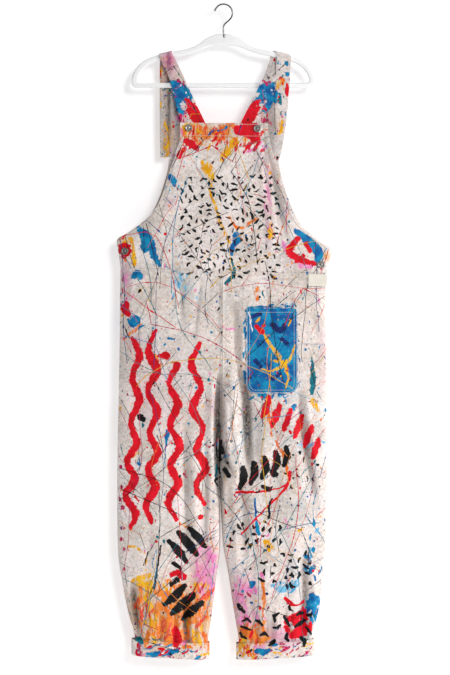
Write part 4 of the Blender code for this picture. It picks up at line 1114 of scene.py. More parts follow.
cuffs = {}
for side, name, outer, inner, top in (
    (-1, "left", -0.2165, -0.0325, -1.4925), (1, "right", 0.2125, 0.0295, -1.4935),
):
    leg_outer = follow(LEGS, "out_" + name, CUFF_FOOT) - side * CLOTH
    leg_inner = follow(LEGS, "in_" + name, CUFF_FOOT) + side * CLOTH
    leg_depth = follow(LEGS, "depth", CUFF_FOOT) - CLOTH
    edge = side * CUFF / 2
    turn = np.linspace(0, 1, 180)
    turn = turn + 0.055 * np.sin(-4 * np.pi * turn) / (2 * np.pi)
    turn[-1] = 0
    # how far towards the leg's inside, height, and how much the outer side is raised
    profile = [(0.03, top, 0.050), (0.0, top - 0.0015, 0.0505)]
    profile += [(0.0, z, 0.0525) for z in np.linspace(top - 0.004, CUFF_FOOT + 0.005, 17)]
    profile += [(0.05, CUFF_FOOT + 0.0030, 0.055), (0.30, CUFF_FOOT + 0.0015, 0.055)]
    profile += [(share, CUFF_FOOT + 0.0015, 0.055) for share in (0.55, 0.8, 1.0)]
    rows = []
    for inward, z, rise in profile:
        down = (top - z) / (top - CUFF_FOOT)
        hem = ring(outer - edge, inner + edge, CUFF_DEPTH, turn, np.full(turn.shape, z), rise)
        leg = ring(leg_outer, leg_inner, leg_depth, turn, np.full(turn.shape, z), rise)
        row = hem + (leg - hem) * inward
        # slack between the stitches, most at mid height, and a rolled groove near the fold
        slack = np.sin(26 * np.pi * turn + 3 * side) + 0.7 * np.sin(14 * np.pi * turn + 1.1)
        press = -0.0007 * np.exp(-(((down - 0.72) / 0.09) ** 2)) + 0.00035 * slack * np.sin(np.pi * down)
        flat = np.clip(np.abs(np.sin(2 * np.pi * turn)) * 2.5, 0, 1)
        row[:, 1] += np.sign(row[:, 1]) * press * (1 - inward) * flat
        row[:, 2] += 0.0009 * np.sin(6 * np.pi * turn + side) * (1 - down) * (1 - inward)
        rows.append(row)
    made = cloth_sheet("turned_up_hem_" + name, np.array(rows), CUFF, ring=True)
    lay_paint(made, FRONT_PAINT, GARMENT_WASHES)
    dressed(made, CANVAS, "painted_canvas", "cuff_" + name)
    cuffs[name] = made

# ======== Patch pocket
# An oblong of the same canvas, 120 by 200 mm, sewn flat on the right thigh and brushed
# with cobalt blue that stops ragged at its edges, then splashed with other colours.

POCKET = 0.0014
POCKET_LEFT, POCKET_RIGHT = 0.0530, 0.1727
POCKET_TOP, POCKET_BOTTOM = -0.7120, -0.9120
POCKET_CORNER = 0.022
down_count, across_count = 100, 62
pocket_z = np.linspace(POCKET_TOP, POCKET_BOTTOM, down_count)
pocket_grid = np.zeros((down_count, across_count, 3))
for i, z in enumerate(pocket_z):
    into_corner = max(0.0, POCKET_BOTTOM + POCKET_CORNER - z)
    pull_in = POCKET_CORNER - math.sqrt(max(0.0, POCKET_CORNER**2 - into_corner**2))
    for j, x in enumerate(np.linspace(POCKET_LEFT + pull_in, POCKET_RIGHT - pull_in, across_count)):
        met, _ = met_from(thigh_tree, x, z)
        pocket_grid[i, j] = (x, met.y, z)
thigh_y = pocket_grid[:, :, 1].copy()
smoothed = thigh_y.copy()
for _ in range(6):
    padded = np.pad(smoothed, 1, mode="edge")
    smoothed = (padded[:-2, 1:-1] + padded[2:, 1:-1] + padded[1:-1, :-2] + padded[1:-1, 2:]) / 4
top_slack = np.clip((pocket_z - POCKET_TOP + 0.03) / 0.03, 0, 1)[:, None] ** 2
middle = np.sin(np.pi * np.linspace(0, 1, across_count))[None, :]
pocket_grid[:, :, 1] = np.minimum(smoothed, thigh_y) - GAP - POCKET - 0.0022 * top_slack * middle
patch_pocket = cloth_sheet("patch_pocket_panel", pocket_grid, POCKET)
pocket_strokes = join_strokes(POCKET_STROKES, loose_drops(31, (0.055, -0.91), (0.171, -0.714), 60))
# the blue goes round inside the edges, then across in level strokes
pocket_strokes["blue"] = [points_of(
    "58,-717,4.6 167.7,-716.5,4 168,-893,4.6 150,-906.8,3.6 74,-906.5,4.6 58.5,-892,4 58,-717,4.6"
)]
for z in np.arange(-0.722, -0.903, -0.0095):
    pocket_strokes["blue"].append(np.array([(0.060, z, 0.0062), (0.166, z - 0.002, 0.0062)]))
lay_paint(patch_pocket, pocket_strokes, everywhere={})
POCKET_ORDER = "sky blue navy teal white orange yellow crimson red black".split()
BLUE_CANVAS = painted_cloth("blue_brushed_canvas", "#DCD9DA", "#C8CBD2", POCKET_ORDER, 0.5)
dressed(patch_pocket, BLUE_CANVAS, "pocket_canvas", "patch_pocket")
pocket_tree = surface(patch_pocket)

# ======== Waist label
# A folded tab of cream cotton tape caught in the waist seam, left blank, its free end
# curling off the hip.

LABEL = 0.0010
LABEL_LEFT, LABEL_RIGHT = 0.1986, 0.2415
LABEL_TOP, LABEL_BOTTOM = -0.6335, -0.6615
t, s = np.meshgrid(np.linspace(0, 1, 24), np.linspace(0, 1, 34), indexing="ij")
nearest = min(met_from(thigh_tree, LABEL_LEFT + 0.001, z)[0].y for z in (LABEL_TOP - 0.004, LABEL_BOTTOM))
label_x = LABEL_LEFT + (LABEL_RIGHT - LABEL_LEFT) * s
label_y = nearest - GAP - LABEL / 2 + 0.0020 * s - 0.0009 * np.sin(np.pi * t) * s
label_z = LABEL_TOP + (LABEL_BOTTOM - LABEL_TOP) * t - 0.027 * (LABEL_RIGHT - LABEL_LEFT) * (s - 0.5)
waist_label = cloth_sheet("waist_label_tab", np.stack((label_x, label_y, label_z), axis=-1), LABEL)

LABEL_CLOTH, tree, shader, place = new_material("label_cotton_tape")
soil = noise(tree, place, 90, 3).outputs[0]
feed(tree, shader, {"Base Color": blended(tree, soil, "#D9D2C4", "#F1EBDF"), "Roughness": 0.85})
# fine ribs of the tape, 0.8 mm apart
ribs = add(tree, "TexWave", {"Vector": place, "Scale": 200, "Distortion": 0.4}, bands_direction="X")
bumped(tree, shader, ribs.outputs[1], 0.35, 0.0003)
dressed(waist_label, LABEL_CLOTH, "label_cloth", "waist_label")

# ======== Straps
# Folded canvas straps 32 mm wide, painted more thickly than the legs. Each comes up from
# behind the bib, crosses the hanger's arm and goes down to the back panel; a loose tail
# hangs beside it. They are stiff, so they curve a little across and stay nearly straight.

STRAP = 0.0025
HANGER_THICK = 0.008
HANGER_EDGE = 0.003  # how far its edges are rounded
OFF_HANGER = HANGER_THICK / 2 + GAP + STRAP / 2
LYING = {
    "outermost": -(OFF_HANGER + STRAP + GAP), "before": -OFF_HANGER, "behind": OFF_HANGER,
    "tail_before": -OFF_HANGER + STRAP + GAP, "tail_behind": OFF_HANGER + STRAP + GAP,
}
# Rows along each strap: its left edge, its right edge, and where it lies from front to
# back, which is a name in LYING or millimetres.
STRAPS_FRONT = {
    "left": """
        -96.5,-318 -47.5,-318 0
        -99.5,-276 -43.5,-276 0
        -108,-245 -60,-242 outermost
        -116.5,-213 -76.5,-207 outermost
        -124.6,-181 -92.8,-171.6 outermost
    """,
    "right": """
        45.5,-318 98.5,-318 0
        41,-276 101,-276 0
        58,-243 106,-245 outermost
        75,-209 111.7,-212.5 outermost
        92.1,-175 117.3,-180 outermost
    """,
}
SHOULDER_UP = {
    "left": """
        -118.5,-206 -83,-196 before
        -124.6,-181 -92.8,-171.6 before
        -134,-156 -103,-148 before
        -144,-138 -113,-128 before
    """,
    "right": """
        79,-213 108.5,-218 before
        87,-190 115,-194.5 before
        92.1,-175 117.3,-180 -5
        97.5,-160 124,-163 -1.5
        103.5,-144 133,-148 3
        107.5,-133 138,-137 behind
    """,
}
SHOULDER_OVER = {
    "left": (-0.1516, -0.1215, -0.1502, -0.1202),
    "right": (0.1110, 0.1415, 0.1256, 0.1584),
}
SHOULDER_DOWN = {
    "left": """
        -149,-138 -119.5,-133 behind
        -145.5,-165 -117,-162 behind
        -142,-200 -110.5,-200 behind
        -135,-247 -102,-247 6.2
        -130,-285 -97.5,-285 6.7
        -127.5,-320 -103,-320 7.2
        -125.5,-345 -113,-345 7.6
        -124.5,-374 -112,-374 0
    """,
    "right": """
        124.8,-130 157.8,-138 before
        123.4,-155 156.2,-158 before
        122,-196 154.6,-196 before
        121,-240 151,-242 -4.8
        121.6,-285 146,-284 -1.8
        124,-320 140.5,-320 2.5
        125.8,-345 136,-345 6
        116.5,-374 127,-374 0
    """,
}
TAILS = {
    "left": """
        -150,-138 -127,-138 tail_behind
        -150,-200 -127,-200 tail_behind
        -150,-247 -127,-247 9.1
        -149.5,-320 -126.5,-320 10.1
        -149,-357.5 -126,-357.5 10.6
    """,
    "right": """
        116.8,-179 123.8,-179 tail_before
        90,-199 123.6,-199 tail_before
        89,-218 121.5,-218 tail_before
        96.5,-250 123.5,-250 -0.5
        101,-300 124.5,-300 1
        104,-345 125,-345 2
        106,-370 124.5,-370 2.5
    """,
}
HANGER_TOP = points_of("""
    0,-67.5 12,-68.2 22,-70.7 41,-79 62.5,-94.5 85,-103 119,-110 160,-119.8 189,-133 205.7,-150
    214.5,-168 216.5,-179
""")


def crossings(text):
    """Rows of a strap as pairs of edge points."""
    pairs = []
    for row in text.strip().splitlines():
        left, right, lying = row.split()
        y = LYING[lying] if lying in LYING else float(lying) / 1000
        pairs.append([(x, y, z) for x, z in points_of(left + " " + right)])
    return np.array(pairs)


def strap_grid(pairs, cup, across=9, step=0.0035):
    """Rows of points along a strap, evenly spaced, with a slight curve across it."""
    middle = pairs.mean(axis=1)
    along = np.concatenate(([0], np.cumsum(np.linalg.norm(np.diff(middle, axis=0), axis=1))))
    where = np.linspace(0, along[-1], int(along[-1] / step) + 1)
    where = np.unique(np.concatenate((where, along)).round(6))
    edges = np.stack([
        np.stack([np.interp(where, along, pairs[:, side, axis]) for axis in range(3)], axis=-1)
        for side in (0, 1)
    ], axis=1)
    share = np.linspace(0, 1, across)[None, :, None]
    grid = edges[:, :1] * (1 - share) + edges[:, 1:] * share
    # a soft roll along each edge, where the canvas is folded over
    edge = np.minimum(share, 1 - share)[:, :, 0]
    grid[:, :, 1] -= cup * np.sin(np.pi * share[:, :, 0]) * (1 + 0.3 * np.sin(90 * where))[:, None]
    grid[:, :, 1] += 0.0003 * np.exp(-((edge / 0.05) ** 2))
    return grid


STRAP_ORDER = "sky orange yellow pink coral teal blue navy red crimson black white".split()
STRAP_CANVAS = painted_cloth("painted_strap_canvas", "#F6F1EE", "#CBC2BC", STRAP_ORDER, 1.8)
# low and high corners of the places where the straps hang
LEFT_STRAPS = (-0.15, -0.38), (-0.04, -0.12)
RIGHT_STRAPS = (0.04, -0.38), (0.16, -0.12)
STRAP_PAINT = splashed(join_strokes(
    STRAP_STROKES, loose_drops(41, *LEFT_STRAPS, 150), loose_drops(42, *RIGHT_STRAPS, 150),
    *worked_over("""
    43 -153,-240 -145,-150 10 yellow4,orange2,red1 8,24 1.2,3.0 1.5
    44 -140,-352 -128,-262 15 yellow6,orange2 10,30 1.6,4.0 1.5
    45 -142,-262 -130,-185 10 teal3,blue3,white1,sky2 4,13 0.9,2.4 0.8
    46 -124,-246 -76,-186 26 white6,crimson2,navy2,pink2 2,8 0.9,2.5 0.8
    47 76,-246 124,-186 26 white6,crimson2,navy2,pink2 2,8 0.9,2.5 2.2
    48 -134,-180 -106,-122 14 crimson4,pink2,red1 2,9 0.6,1.8 1.2
    49 124,-340 150,-128 20 blue3,yellow4,teal3,crimson1,red1 4,15 0.9,2.8 1.2
    50 60,-272 104,-240 10 red5,crimson2 6,16 1.4,3.4 2.0
    55 -104,-272 -62,-240 8 red5,crimson2 6,16 1.4,3.4 1.0
    """),
), 7)
# its dark wash rows are painted shade on the strands that hang behind and on the straps' undersides
STRAP_WASHES = read_washes("""
    pink -128,-140 22,40 0.85; pink -95,-262 14,24 0.6; pink 96,-262 14,24 0.5;
    yellow -126,-300 16,40 0.75; yellow -142,-190 12,40 0.45; grime 102,-165 14,30 0.33;
    yellow 135,-285 16,30 0.35; grime -140,-250 12,90 0.22; grime 110,-300 15,80 0.63;
    grime -112,-240 10,60 0.55; grime -128,-330 16,40 0.3; grime -150,-140 9,20 0.59;
    grime -129,-230 6,120 0.9; grime -149,-250 3,120 0.44; yellow -138,-250 7,110 0.7;
    grime 106,-230 14,60 0.59
""")
ROWS_BEHIND_BIB = 2
UNDER_BIB_TOP, BIB_HEM_MIDDLE = -0.2801, -0.295
straps = {}
for side, name in ((-1, "left"), (1, "right")):
    # front strap: its end lies behind the bib, then it rises to the shoulder seam
    pairs = crossings(STRAPS_FRONT[name])
    for row in pairs[:ROWS_BEHIND_BIB]:
        behind = [
            met_from(bib_tree, x, min(z, UNDER_BIB_TOP), 1)[0].y
            for x in np.linspace(row[0, 0], row[1, 0], 5)
            for z in (row[0, 2], BIB_HEM_MIDDLE, UNDER_BIB_TOP)
        ]
        row[:, 1] = max(behind) + GAP + STRAP / 2
    made = cloth_sheet("front_strap_" + name, strap_grid(pairs, cup=0.0), STRAP)
    pieces = [(made, "strap_front_" + name)]

    # shoulder strap: up to the hanger's arm, over it, and down to the back panel
    up = crossings(SHOULDER_UP[name])
    corner = OFF_HANGER - HANGER_THICK / 2 + HANGER_EDGE
    flat = HANGER_THICK / 2 - HANGER_EDGE
    up_left, up_right, down_left, down_right = SHOULDER_OVER[name]
    over = []
    for share in np.linspace(0, 1, 17):
        angle = math.pi * share
        # the left strap starts in front of the arm, the right one behind it
        away = math.cos(angle) * corner + (math.copysign(flat, math.cos(angle)) if share != 0.5 else 0)
        pair = []
        for start, end in ((up_left, down_left), (up_right, down_right)):
            x = start + (end - start) * share
            top = float(np.interp(abs(x), *HANGER_TOP.T))
            pair.append((x, side * away, top - HANGER_EDGE + math.sin(angle) * corner))
        over.append(pair)
    down = crossings(SHOULDER_DOWN[name])
    for point in down[-1]:
        met, _ = met_from(bib_back_tree, point[0], point[2])
        point[1] = met.y - GAP - STRAP / 2
    pairs = np.concatenate((up, np.array(over), down))
    made = cloth_sheet("shoulder_strap_" + name, strap_grid(pairs, cup=0.0002), STRAP)
    pieces.append((made, "strap_shoulder_" + name))

    made = cloth_sheet("strap_end_" + name, strap_grid(crossings(TAILS[name]), cup=0.0001), STRAP)
    pieces.append((made, "strap_tail_" + name))
    for made, node in pieces:
        lay_paint(made, STRAP_PAINT, STRAP_WASHES)
        dressed(made, STRAP_CANVAS, "strap_canvas", node)
        straps[node] = made

# ======== Thrown runs of paint
# Long thin runs and the beads on them, flung from a loaded brush or tin. Each has dried as
# a ridge about 0.3 mm proud of whatever cloth it landed across.

RUN_HEIGHT = 0.00030
RUN_SUNK = 0.00025  # how deep the underside of a bead lies in the cloth
RUN_STEP = 0.0040
DROP_SIDES = 7


def flung_runs(seed, low, high, count, longest):
    """Nearly straight runs at steep angles, beading and thinning along their length."""
    dice = np.random.default_rng(seed)
    colours, odds = mixed("black33 blue13 teal8 red14 crimson6 orange9 yellow8 navy6 sky3")
    runs = []
    for _ in range(count):
        colour = dice.choice(colours, p=odds)
        point = dice.uniform(low, high)
        heading = dice.choice([0.85, 1.25, 2.0, 2.4, 1.6], p=[0.3, 0.2, 0.2, 0.15, 0.15])
        heading += dice.normal(0, 0.25)
        bend = dice.normal(0, 1.6)
        length = 0.02 + (longest - 0.02) * dice.random() ** 2.2
        radius = dice.uniform(0.00042, 0.00085)
        run = []
        for _ in range(int(length / RUN_STEP) + 2):
            bead = dice.random() < 0.05
            run.append((*point, radius * (dice.uniform(1.6, 2.6) if bead else dice.uniform(0.75, 1.15))))
            heading += bend * RUN_STEP + dice.normal(0, 0.035)
            point = towards(*point, heading, RUN_STEP)
            if dice.random() < 0.012:
                heading += dice.normal(0, 0.8)
        runs.append((colour, np.array(run)))
    return runs


def fine_drops(seed, low, high, count):
    """Single drops 1 to 3 mm across, in loose clusters."""
    dice = np.random.default_rng(seed)
    colours, odds = mixed("black27 blue12 teal17 red14 crimson10 orange5 yellow6 navy5 pink4")
    drops = []
    while len(drops) < count:
        colour = dice.choice(colours, p=odds)
        middle = dice.uniform(low, high)
        for x, z in middle + dice.normal(0, 0.016, (dice.integers(2, 9), 2)):
            drops.append((colour, np.array([(x, z, 0.0005 + 0.0010 * dice.random() ** 2)])))
    return drops


def placed(name, data):
    """A new object in the scene."""
    made = bpy.data.objects.new(name, data)
    bpy.context.collection.objects.link(made)
    return made


def facing_out(mesh):
    """Turns every face's normal outwards."""
    bm = bmesh.new()
    bm.from_mesh(mesh)
    bmesh.ops.recalc_face_normals(bm, faces=bm.faces)
    bm.to_mesh(mesh)
    bm.free()


def meshed(name, points, faces):
    """A smooth object of closed pieces."""
    mesh = bpy.data.meshes.new(name)
    mesh.from_pydata(points, [], faces)
    made = placed(name, mesh)
    facing_out(mesh)
    for polygon in mesh.polygons:
        polygon.use_smooth = True
    return made


def drop_shape(x, met, normal, radius):
    """A low bead on the cloth, closed above and below."""
    across = normal.cross(Vector((0, 0, 1))).normalized()
    up = across.cross(normal)
    points, faces = [], []
    for i in range(DROP_SIDES):
        angle = 2 * math.pi * i / DROP_SIDES
        out = radius * (1 + 0.18 * math.sin(3 * angle + 900 * x))
        points.append(met + across * out * math.cos(angle) + up * out * math.sin(angle))
        ahead = (i + 1) % DROP_SIDES
        faces += [(i, ahead, DROP_SIDES), (ahead, i, DROP_SIDES + 1)]
    return points + [met + normal * RUN_HEIGHT, met - normal * RUN_SUNK], faces


def ridge_shape(places):
    """A low four-sided ridge along places on the cloth, closed at its ends."""
    points, faces = [], []
    for i, (met, normal, radius) in enumerate(places):
        ahead = places[min(i + 1, len(places) - 1)][0] - places[max(i - 1, 0)][0]
        across = normal.cross(ahead).normalized()
        points += [
            met + across * radius, met + normal * RUN_HEIGHT, met - across * radius,
            met - normal * RUN_SUNK,
        ]
        if i:
            a = 4 * i
            faces += [(a - 4 + j, a - 4 + (j + 1) % 4, a + (j + 1) % 4, a + j) for j in range(4)]
    end = len(points) - 4
    return points, faces + [(0, 1, 2, 3), (end + 3, end + 2, end + 1, end)]


def lay_runs(name, runs, trees, facing):
    """One mesh of ridges and drops on the nearest cloth, each with its colour."""
    points, faces, shades = [], [], []
    for colour, run in runs:
        # a run breaks where it passes an edge or drops to the cloth below
        pieces = [[]]
        for x, z, radius in run:
            best = met_nearest(trees, x, z, facing)
            last = pieces[-1][-1:]
            if best is None or (last and (best[0] - last[0][0]).length > 3 * RUN_STEP):
                pieces.append([])
            if best is not None:
                pieces[-1].append((*best, radius))
        for piece in pieces:
            if len(piece) > 1:
                corners, sides = ridge_shape(piece)
            elif piece and len(run) == 1:
                corners, sides = drop_shape(run[0][0], *piece[0])
            else:
                continue
            faces += [tuple(len(points) + i for i in side) for side in sides]
            points += corners
            shades += [linear(PAINTS[colour][0])] * len(corners)
    made = meshed(name, [tuple(p) for p in points], faces)
    colours = made.data.attributes.new("paint_colour", "FLOAT_COLOR", "POINT")
    colours.data.foreach_set("color", np.array(shades, np.float32).ravel())
    return made


GLOSS_PAINT, tree, shader, place = new_material("dried_thrown_paint")
hue = add(tree, "Attribute", attribute_name="paint_colour").outputs["Color"]
uneven = noise(tree, place, 300, 2).outputs[0]
film = fitted(tree, uneven, 0.35, 0.65, 0.72, 1.0)
hue = blended(tree, 1.0, hue, film, blend_type="MULTIPLY")
feed(tree, shader, {"Base Color": hue, "Roughness": 0.45, "Specular IOR Level": 0.2})
bumped(tree, shader, uneven, 0.25, 0.0002)

hem_tree = surface(bib_hem)
strap_trees = [surface(made) for made in straps.values()]
front_legs, back_legs = [
    [surface(legs[layer, name]) for name in ("left", "right")] for layer in ("front", "back")
]
both_cuffs = [surface(made) for made in cuffs.values()]
runs = flung_runs(51, *LEG_AREA, 222, 0.40) + flung_runs(52, *BIB_AREA, 48, 0.25)
runs += fine_drops(53, *LEG_AREA, 1700)
runs += fine_drops(54, (-0.15, -0.60), (0.16, -0.28), 420)
front_trees = front_legs + [bib_tree, hem_tree, pocket_tree] + both_cuffs
beads = lay_runs("thrown_paint_front", runs, front_trees, -1)
runs = flung_runs(61, *BACK_AREA, 180, 0.42) + fine_drops(62, *BACK_AREA, 1700)
back_beads = lay_runs("thrown_paint_back", runs, back_legs + [bib_back_tree] + both_cuffs, 1)
runs = flung_runs(71, *LEFT_STRAPS, 14, 0.12) + flung_runs(72, *RIGHT_STRAPS, 14, 0.12)
runs += fine_drops(73, LEFT_STRAPS[0], RIGHT_STRAPS[1], 320)
strap_beads = lay_runs("thrown_paint_straps", runs, strap_trees, -1)
dressed(beads, GLOSS_PAINT, "painted_canvas")
dressed(back_beads, GLOSS_PAINT, "painted_canvas")
dressed(strap_beads, GLOSS_PAINT, "strap_canvas")

# ======== Topstitching
# Twin rows of ecru core-spun thread, about 7 stitches to the inch, along the felled seams,
# the hems, the pocket and the turned armholes.

STITCH_LENGTH = 0.0029
STITCH_PITCH = 0.0037
THREAD_RADIUS = 0.00052


def stitch_row(line, trees, facing=-1):
    """One stitch after another along a line of x,z: middle, direction and normal of each."""
    line = rounded(np.array(line, float), 0.01)
    along = np.concatenate(([0], np.cumsum(np.hypot(*np.diff(line, axis=0).T))))
    row = []
    for at in np.arange(STITCH_PITCH / 2, along[-1], STITCH_PITCH):
        (x, ahead_x), (z, ahead_z) = [np.interp((at, at + 0.001), along, axis) for axis in line.T]
        best = met_nearest(trees, x, z, facing)
        run = Vector((ahead_x - x, 0, ahead_z - z))
        if best is None or run.length < 1e-6:
            continue
        met, normal = best
        row.append((met, (run - normal * run.dot(normal)).normalized(), normal))
    return row


def armhole_line(columns, name, top):
    """Along a bib panel's side edge, 8 mm in from it."""
    z = np.linspace(top, -0.5600, 45)
    x = follow(columns, name, z)
    x = x - np.sign(x) * 0.0078
    return np.column_stack((x, z + follow(columns, "tilt", z) * x))


stitches = []
for lower in (0.0022, 0.0080):
    line = [(x, WAIST - WAIST_TILT * x - lower) for x in (-0.232, 0.234)]
    stitches += stitch_row(line, front_legs + [bib_tree])
    stitches += stitch_row(line, back_legs + [bib_back_tree], 1)
for off in (-0.0030, 0.0024):
    line = [(-0.0035 + off, -0.638), (-0.0035 + off, -0.985)]
    stitches += stitch_row(line, front_legs)
    stitches += stitch_row(line, back_legs, 1)
stitches += stitch_row([(x, -0.3088 - 0.0102 * x) for x in (-0.0975, 0.101)], [hem_tree])
stitches += stitch_row([(x, -0.2818 - 0.0055 * x) for x in (-0.0975, 0.099)], [hem_tree])
for name in ("left", "right"):
    stitches += stitch_row(armhole_line(BIB_FRONT, name, -0.3150), [bib_tree])
    stitches += stitch_row(armhole_line(BIB_BACK, name, -0.3700), [bib_back_tree], 1)
for inset_by in (0.0022, 0.0078):
    left, right = POCKET_LEFT + inset_by, POCKET_RIGHT - inset_by
    foot, bend = POCKET_BOTTOM + inset_by, POCKET_CORNER - inset_by
    turns = np.linspace(0.2, math.pi / 2, 5)
    corner = [(bend * (1 - math.cos(a)), foot + bend * (1 - math.sin(a))) for a in turns]
    edge = np.linspace(POCKET_TOP - 0.002, foot + bend, 12)
    line = [(left, z) for z in edge] + [(left + off, z) for off, z in corner]
    line += [(x, foot) for x in np.linspace(left + bend + 0.01, right - bend - 0.01, 6)]
    line += [(right - off, z) for off, z in corner[::-1]] + [(right, z) for z in edge[::-1]]
    stitches += stitch_row(line, [pocket_tree])
line = [(x, POCKET_TOP - 0.0105) for x in (POCKET_LEFT + 0.009, POCKET_RIGHT - 0.009)]
stitches += stitch_row(line, [pocket_tree])
# twin rows round the slanting front pockets, and one round each back pocket
for off in (0.0, 0.0052):
    for slant in ("153,-673 160,-690 173,-700 221,-745.5", "-158,-669 -170,-690 -184,-703 -221,-740.5"):
        line = points_of(slant)
        line[:3, 0] += np.sign(line[:3, 0]) * off
        line[3, 1] += off
        stitches += stitch_row(line, front_legs)
for side in (-1, 1):
    pocket = points_of("60,-709 60,-850 116.5,-873 173,-850 172,-709") * (side, 1)
    for line in zip(pocket[:-1], pocket[1:]):
        stitches += stitch_row(line, back_legs, 1)

# one stitch, a bowed six-sided length of thread with closed ends, laid at every place
bpy.ops.object.select_all(action="DESELECT")
bpy.ops.mesh.primitive_uv_sphere_add(segments=6, ring_count=4, radius=1.0)
stitch_shape = bpy.context.object
stitch_shape.name = "one_stitch"
shape = np.array([v.co for v in stitch_shape.data.vertices])
faces = [tuple(p.vertices) for p in stitch_shape.data.polygons]
bpy.data.objects.remove(stitch_shape)
shape[:, 2] = np.sign(shape[:, 2]) * np.abs(shape[:, 2]) ** 0.7
places, all_faces = [], []
for number, (met, run, normal) in enumerate(stitches):
    across = normal.cross(run)
    lie = shape[:, :1] * np.array(across) * THREAD_RADIUS * 1.15
    lie = lie + (shape[:, 1:2] + 0.35) * np.array(normal) * THREAD_RADIUS
    lie = lie + shape[:, 2:] * np.array(run) * STITCH_LENGTH / 2 + np.array(met)
    places.append(lie)
    all_faces += [tuple(i + number * len(shape) for i in face) for face in faces]
topstitching = meshed("topstitching", np.concatenate(places).tolist(), all_faces)

THREAD, tree, shader, place = new_material("ecru_topstitch_thread")
soil = noise(tree, place, 55, 2).outputs[0]
feed(tree, shader, {"Base Color": blended(tree, soil, "#B9AFA6", "#EFE9E2"), "Roughness": 0.7})
# the twist of the thread
ply = add(tree, "TexWave", {"Vector": place, "Scale": 420, "Distortion": 0.5}, bands_direction="DIAGONAL")
bumped(tree, shader, ply.outputs[1], 0.4, 0.0002)
dressed(topstitching, THREAD, "painted_canvas")

# ======== Tack buttons
# Four jeans buttons 17 mm across, stamped from brass sheet with an antique pewter finish:
# a rolled rim, a sunk ring and a low dome, riveted through the cloth.

BUTTON_RADIUS = 0.0085
BUTTON_HEIGHT = 0.0032
# in thousandths of the radius and of the height
BUTTON_PROFILE = points_of("""
    0,1000 120,990 220,950 300,860 340,740 380,660 480,630 600,660 660,740 710,880 770,980
    840,1000 910,960 970,850 1000,680 1000,400 985,180 940,50 860,0 0,0
""")
BUTTONS = {
    "bib_button_left": (-0.0820, -0.2905),
    "bib_button_right": (0.0785, -0.2920),
    "side_button_left": (-0.2308, -0.5790),
    "side_button_right": (0.2282, -0.6110),
}
PEWTER, tree, shader, place = new_material("antique_pewter_button")
tarnish = noise(tree, place, 380, 4, 0.65).outputs[0]
feed(tree, shader, {
    "Base Color": blended(tree, fitted(tree, tarnish, 0.35, 0.65), "#5E5A56", "#A39E98"),
    "Roughness": fitted(tree, tarnish, 0.3, 0.7, 0.55, 0.32), "Metallic": 1.0,
})
bumped(tree, shader, tarnish, 0.3, 0.0002)
for name, (x, z) in BUTTONS.items():
    met, normal = met_from(hem_tree if name.startswith("bib") else bib_tree, x, z)
    mesh = bpy.data.meshes.new(name)
    profile = [(r * BUTTON_RADIUS, 0, h * BUTTON_HEIGHT) for r, h in BUTTON_PROFILE]
    mesh.from_pydata(profile, [(i, i + 1) for i in range(len(profile) - 1)], [])
    button = placed("tack_" + name, mesh)
    turned = button.modifiers.new("turned", "SCREW")
    turned.steps = turned.render_steps = 48
    turned.use_merge_vertices = True
    turned.merge_threshold = 0.00001
    apply_modifiers(button)
    centre = met + normal * (GAP + 0.0004)
    place = Matrix.Translation(centre) @ normal.to_track_quat("Z", "Y").to_matrix().to_4x4()
    button.data.transform(place)
    facing_out(button.data)
    bpy.ops.object.shade_smooth_by_angle(angle=math.radians(35))
    dressed(button, PEWTER, "pewter", name)

# ======== Hanger
# An adult's moulded hanger, 433 mm wide, in milky white polypropylene: a flat arched body
# with rounded edges, one long window, and a slot in its neck for the hook's stem.

HANGER_INSIDE = points_of("""
    0,-94.5 22,-95.5 41,-100.5 62.5,-109.5 85,-116 119,-123 158,-133 180,-144 193,-157 200,-171
    201,-178
""")
HANGER_BAR_TOP = -0.183
HANGER_BAR_BOTTOM = -0.195
NECK_SLOT_WIDTH = 0.0046
NECK_SLOT_FLOOR = -0.0765
slot = NECK_SLOT_WIDTH / 2


def half_line(points):
    """An outline's right half without corners, as x and z."""
    return [tuple(p) for p in rounded(np.column_stack((points, points[:, 0])), 0.004)[:, :2]]


top_half = [(x, z) for x, z in half_line(HANGER_TOP) if x > slot + 0.001]
end_half = [(0.2163, -0.1840), (0.2145, -0.1890), (0.2115, -0.1928), (0.2070, HANGER_BAR_BOTTOM)]
half = [(slot, NECK_SLOT_FLOOR), (slot, -0.0677)] + top_half + end_half
outline = half + [(-x, z) for x, z in reversed(half)]
inner_half = [(x, z) for x, z in half_line(HANGER_INSIDE) if x > 0.001]
inner_half += [(0.1998, -0.1808), (0.1970, HANGER_BAR_TOP)]
window = [(0.0, -0.0945)] + inner_half + [(-x, z) for x, z in reversed(inner_half)]


def from_curve(name, lines, closed, merge, **settings):
    """A mesh swept along lines of x, y, z and radius, its caps welded shut."""
    curve = bpy.data.curves.new(name, "CURVE")
    for key, value in settings.items():
        setattr(curve, key, value)
    for line in lines:
        spline = curve.splines.new("POLY")
        spline.points.add(len(line) - 1)
        for target, (*point, radius) in zip(spline.points, line):
            target.co = (*point, 1)
            target.radius = radius
        spline.use_cyclic_u = closed
    select_only(placed(name, curve))
    bpy.ops.object.convert(target="MESH")
    made = bpy.context.object
    made.modifiers.new("closed_caps", "WELD").merge_threshold = merge
    apply_modifiers(made)
    return made


hanger = from_curve(
    "hanger_body_moulding", [[(x, z, 0, 1) for x, z in points] for points in (outline, window)],
    True, 0.00003, dimensions="2D", fill_mode="BOTH", extrude=HANGER_THICK / 2 - HANGER_EDGE,
    bevel_depth=HANGER_EDGE, bevel_resolution=4, offset=-HANGER_EDGE,
)
hanger.data.transform(Matrix.Rotation(math.pi / 2, 4, "X"))
bpy.ops.object.shade_smooth_by_angle(angle=math.radians(40))

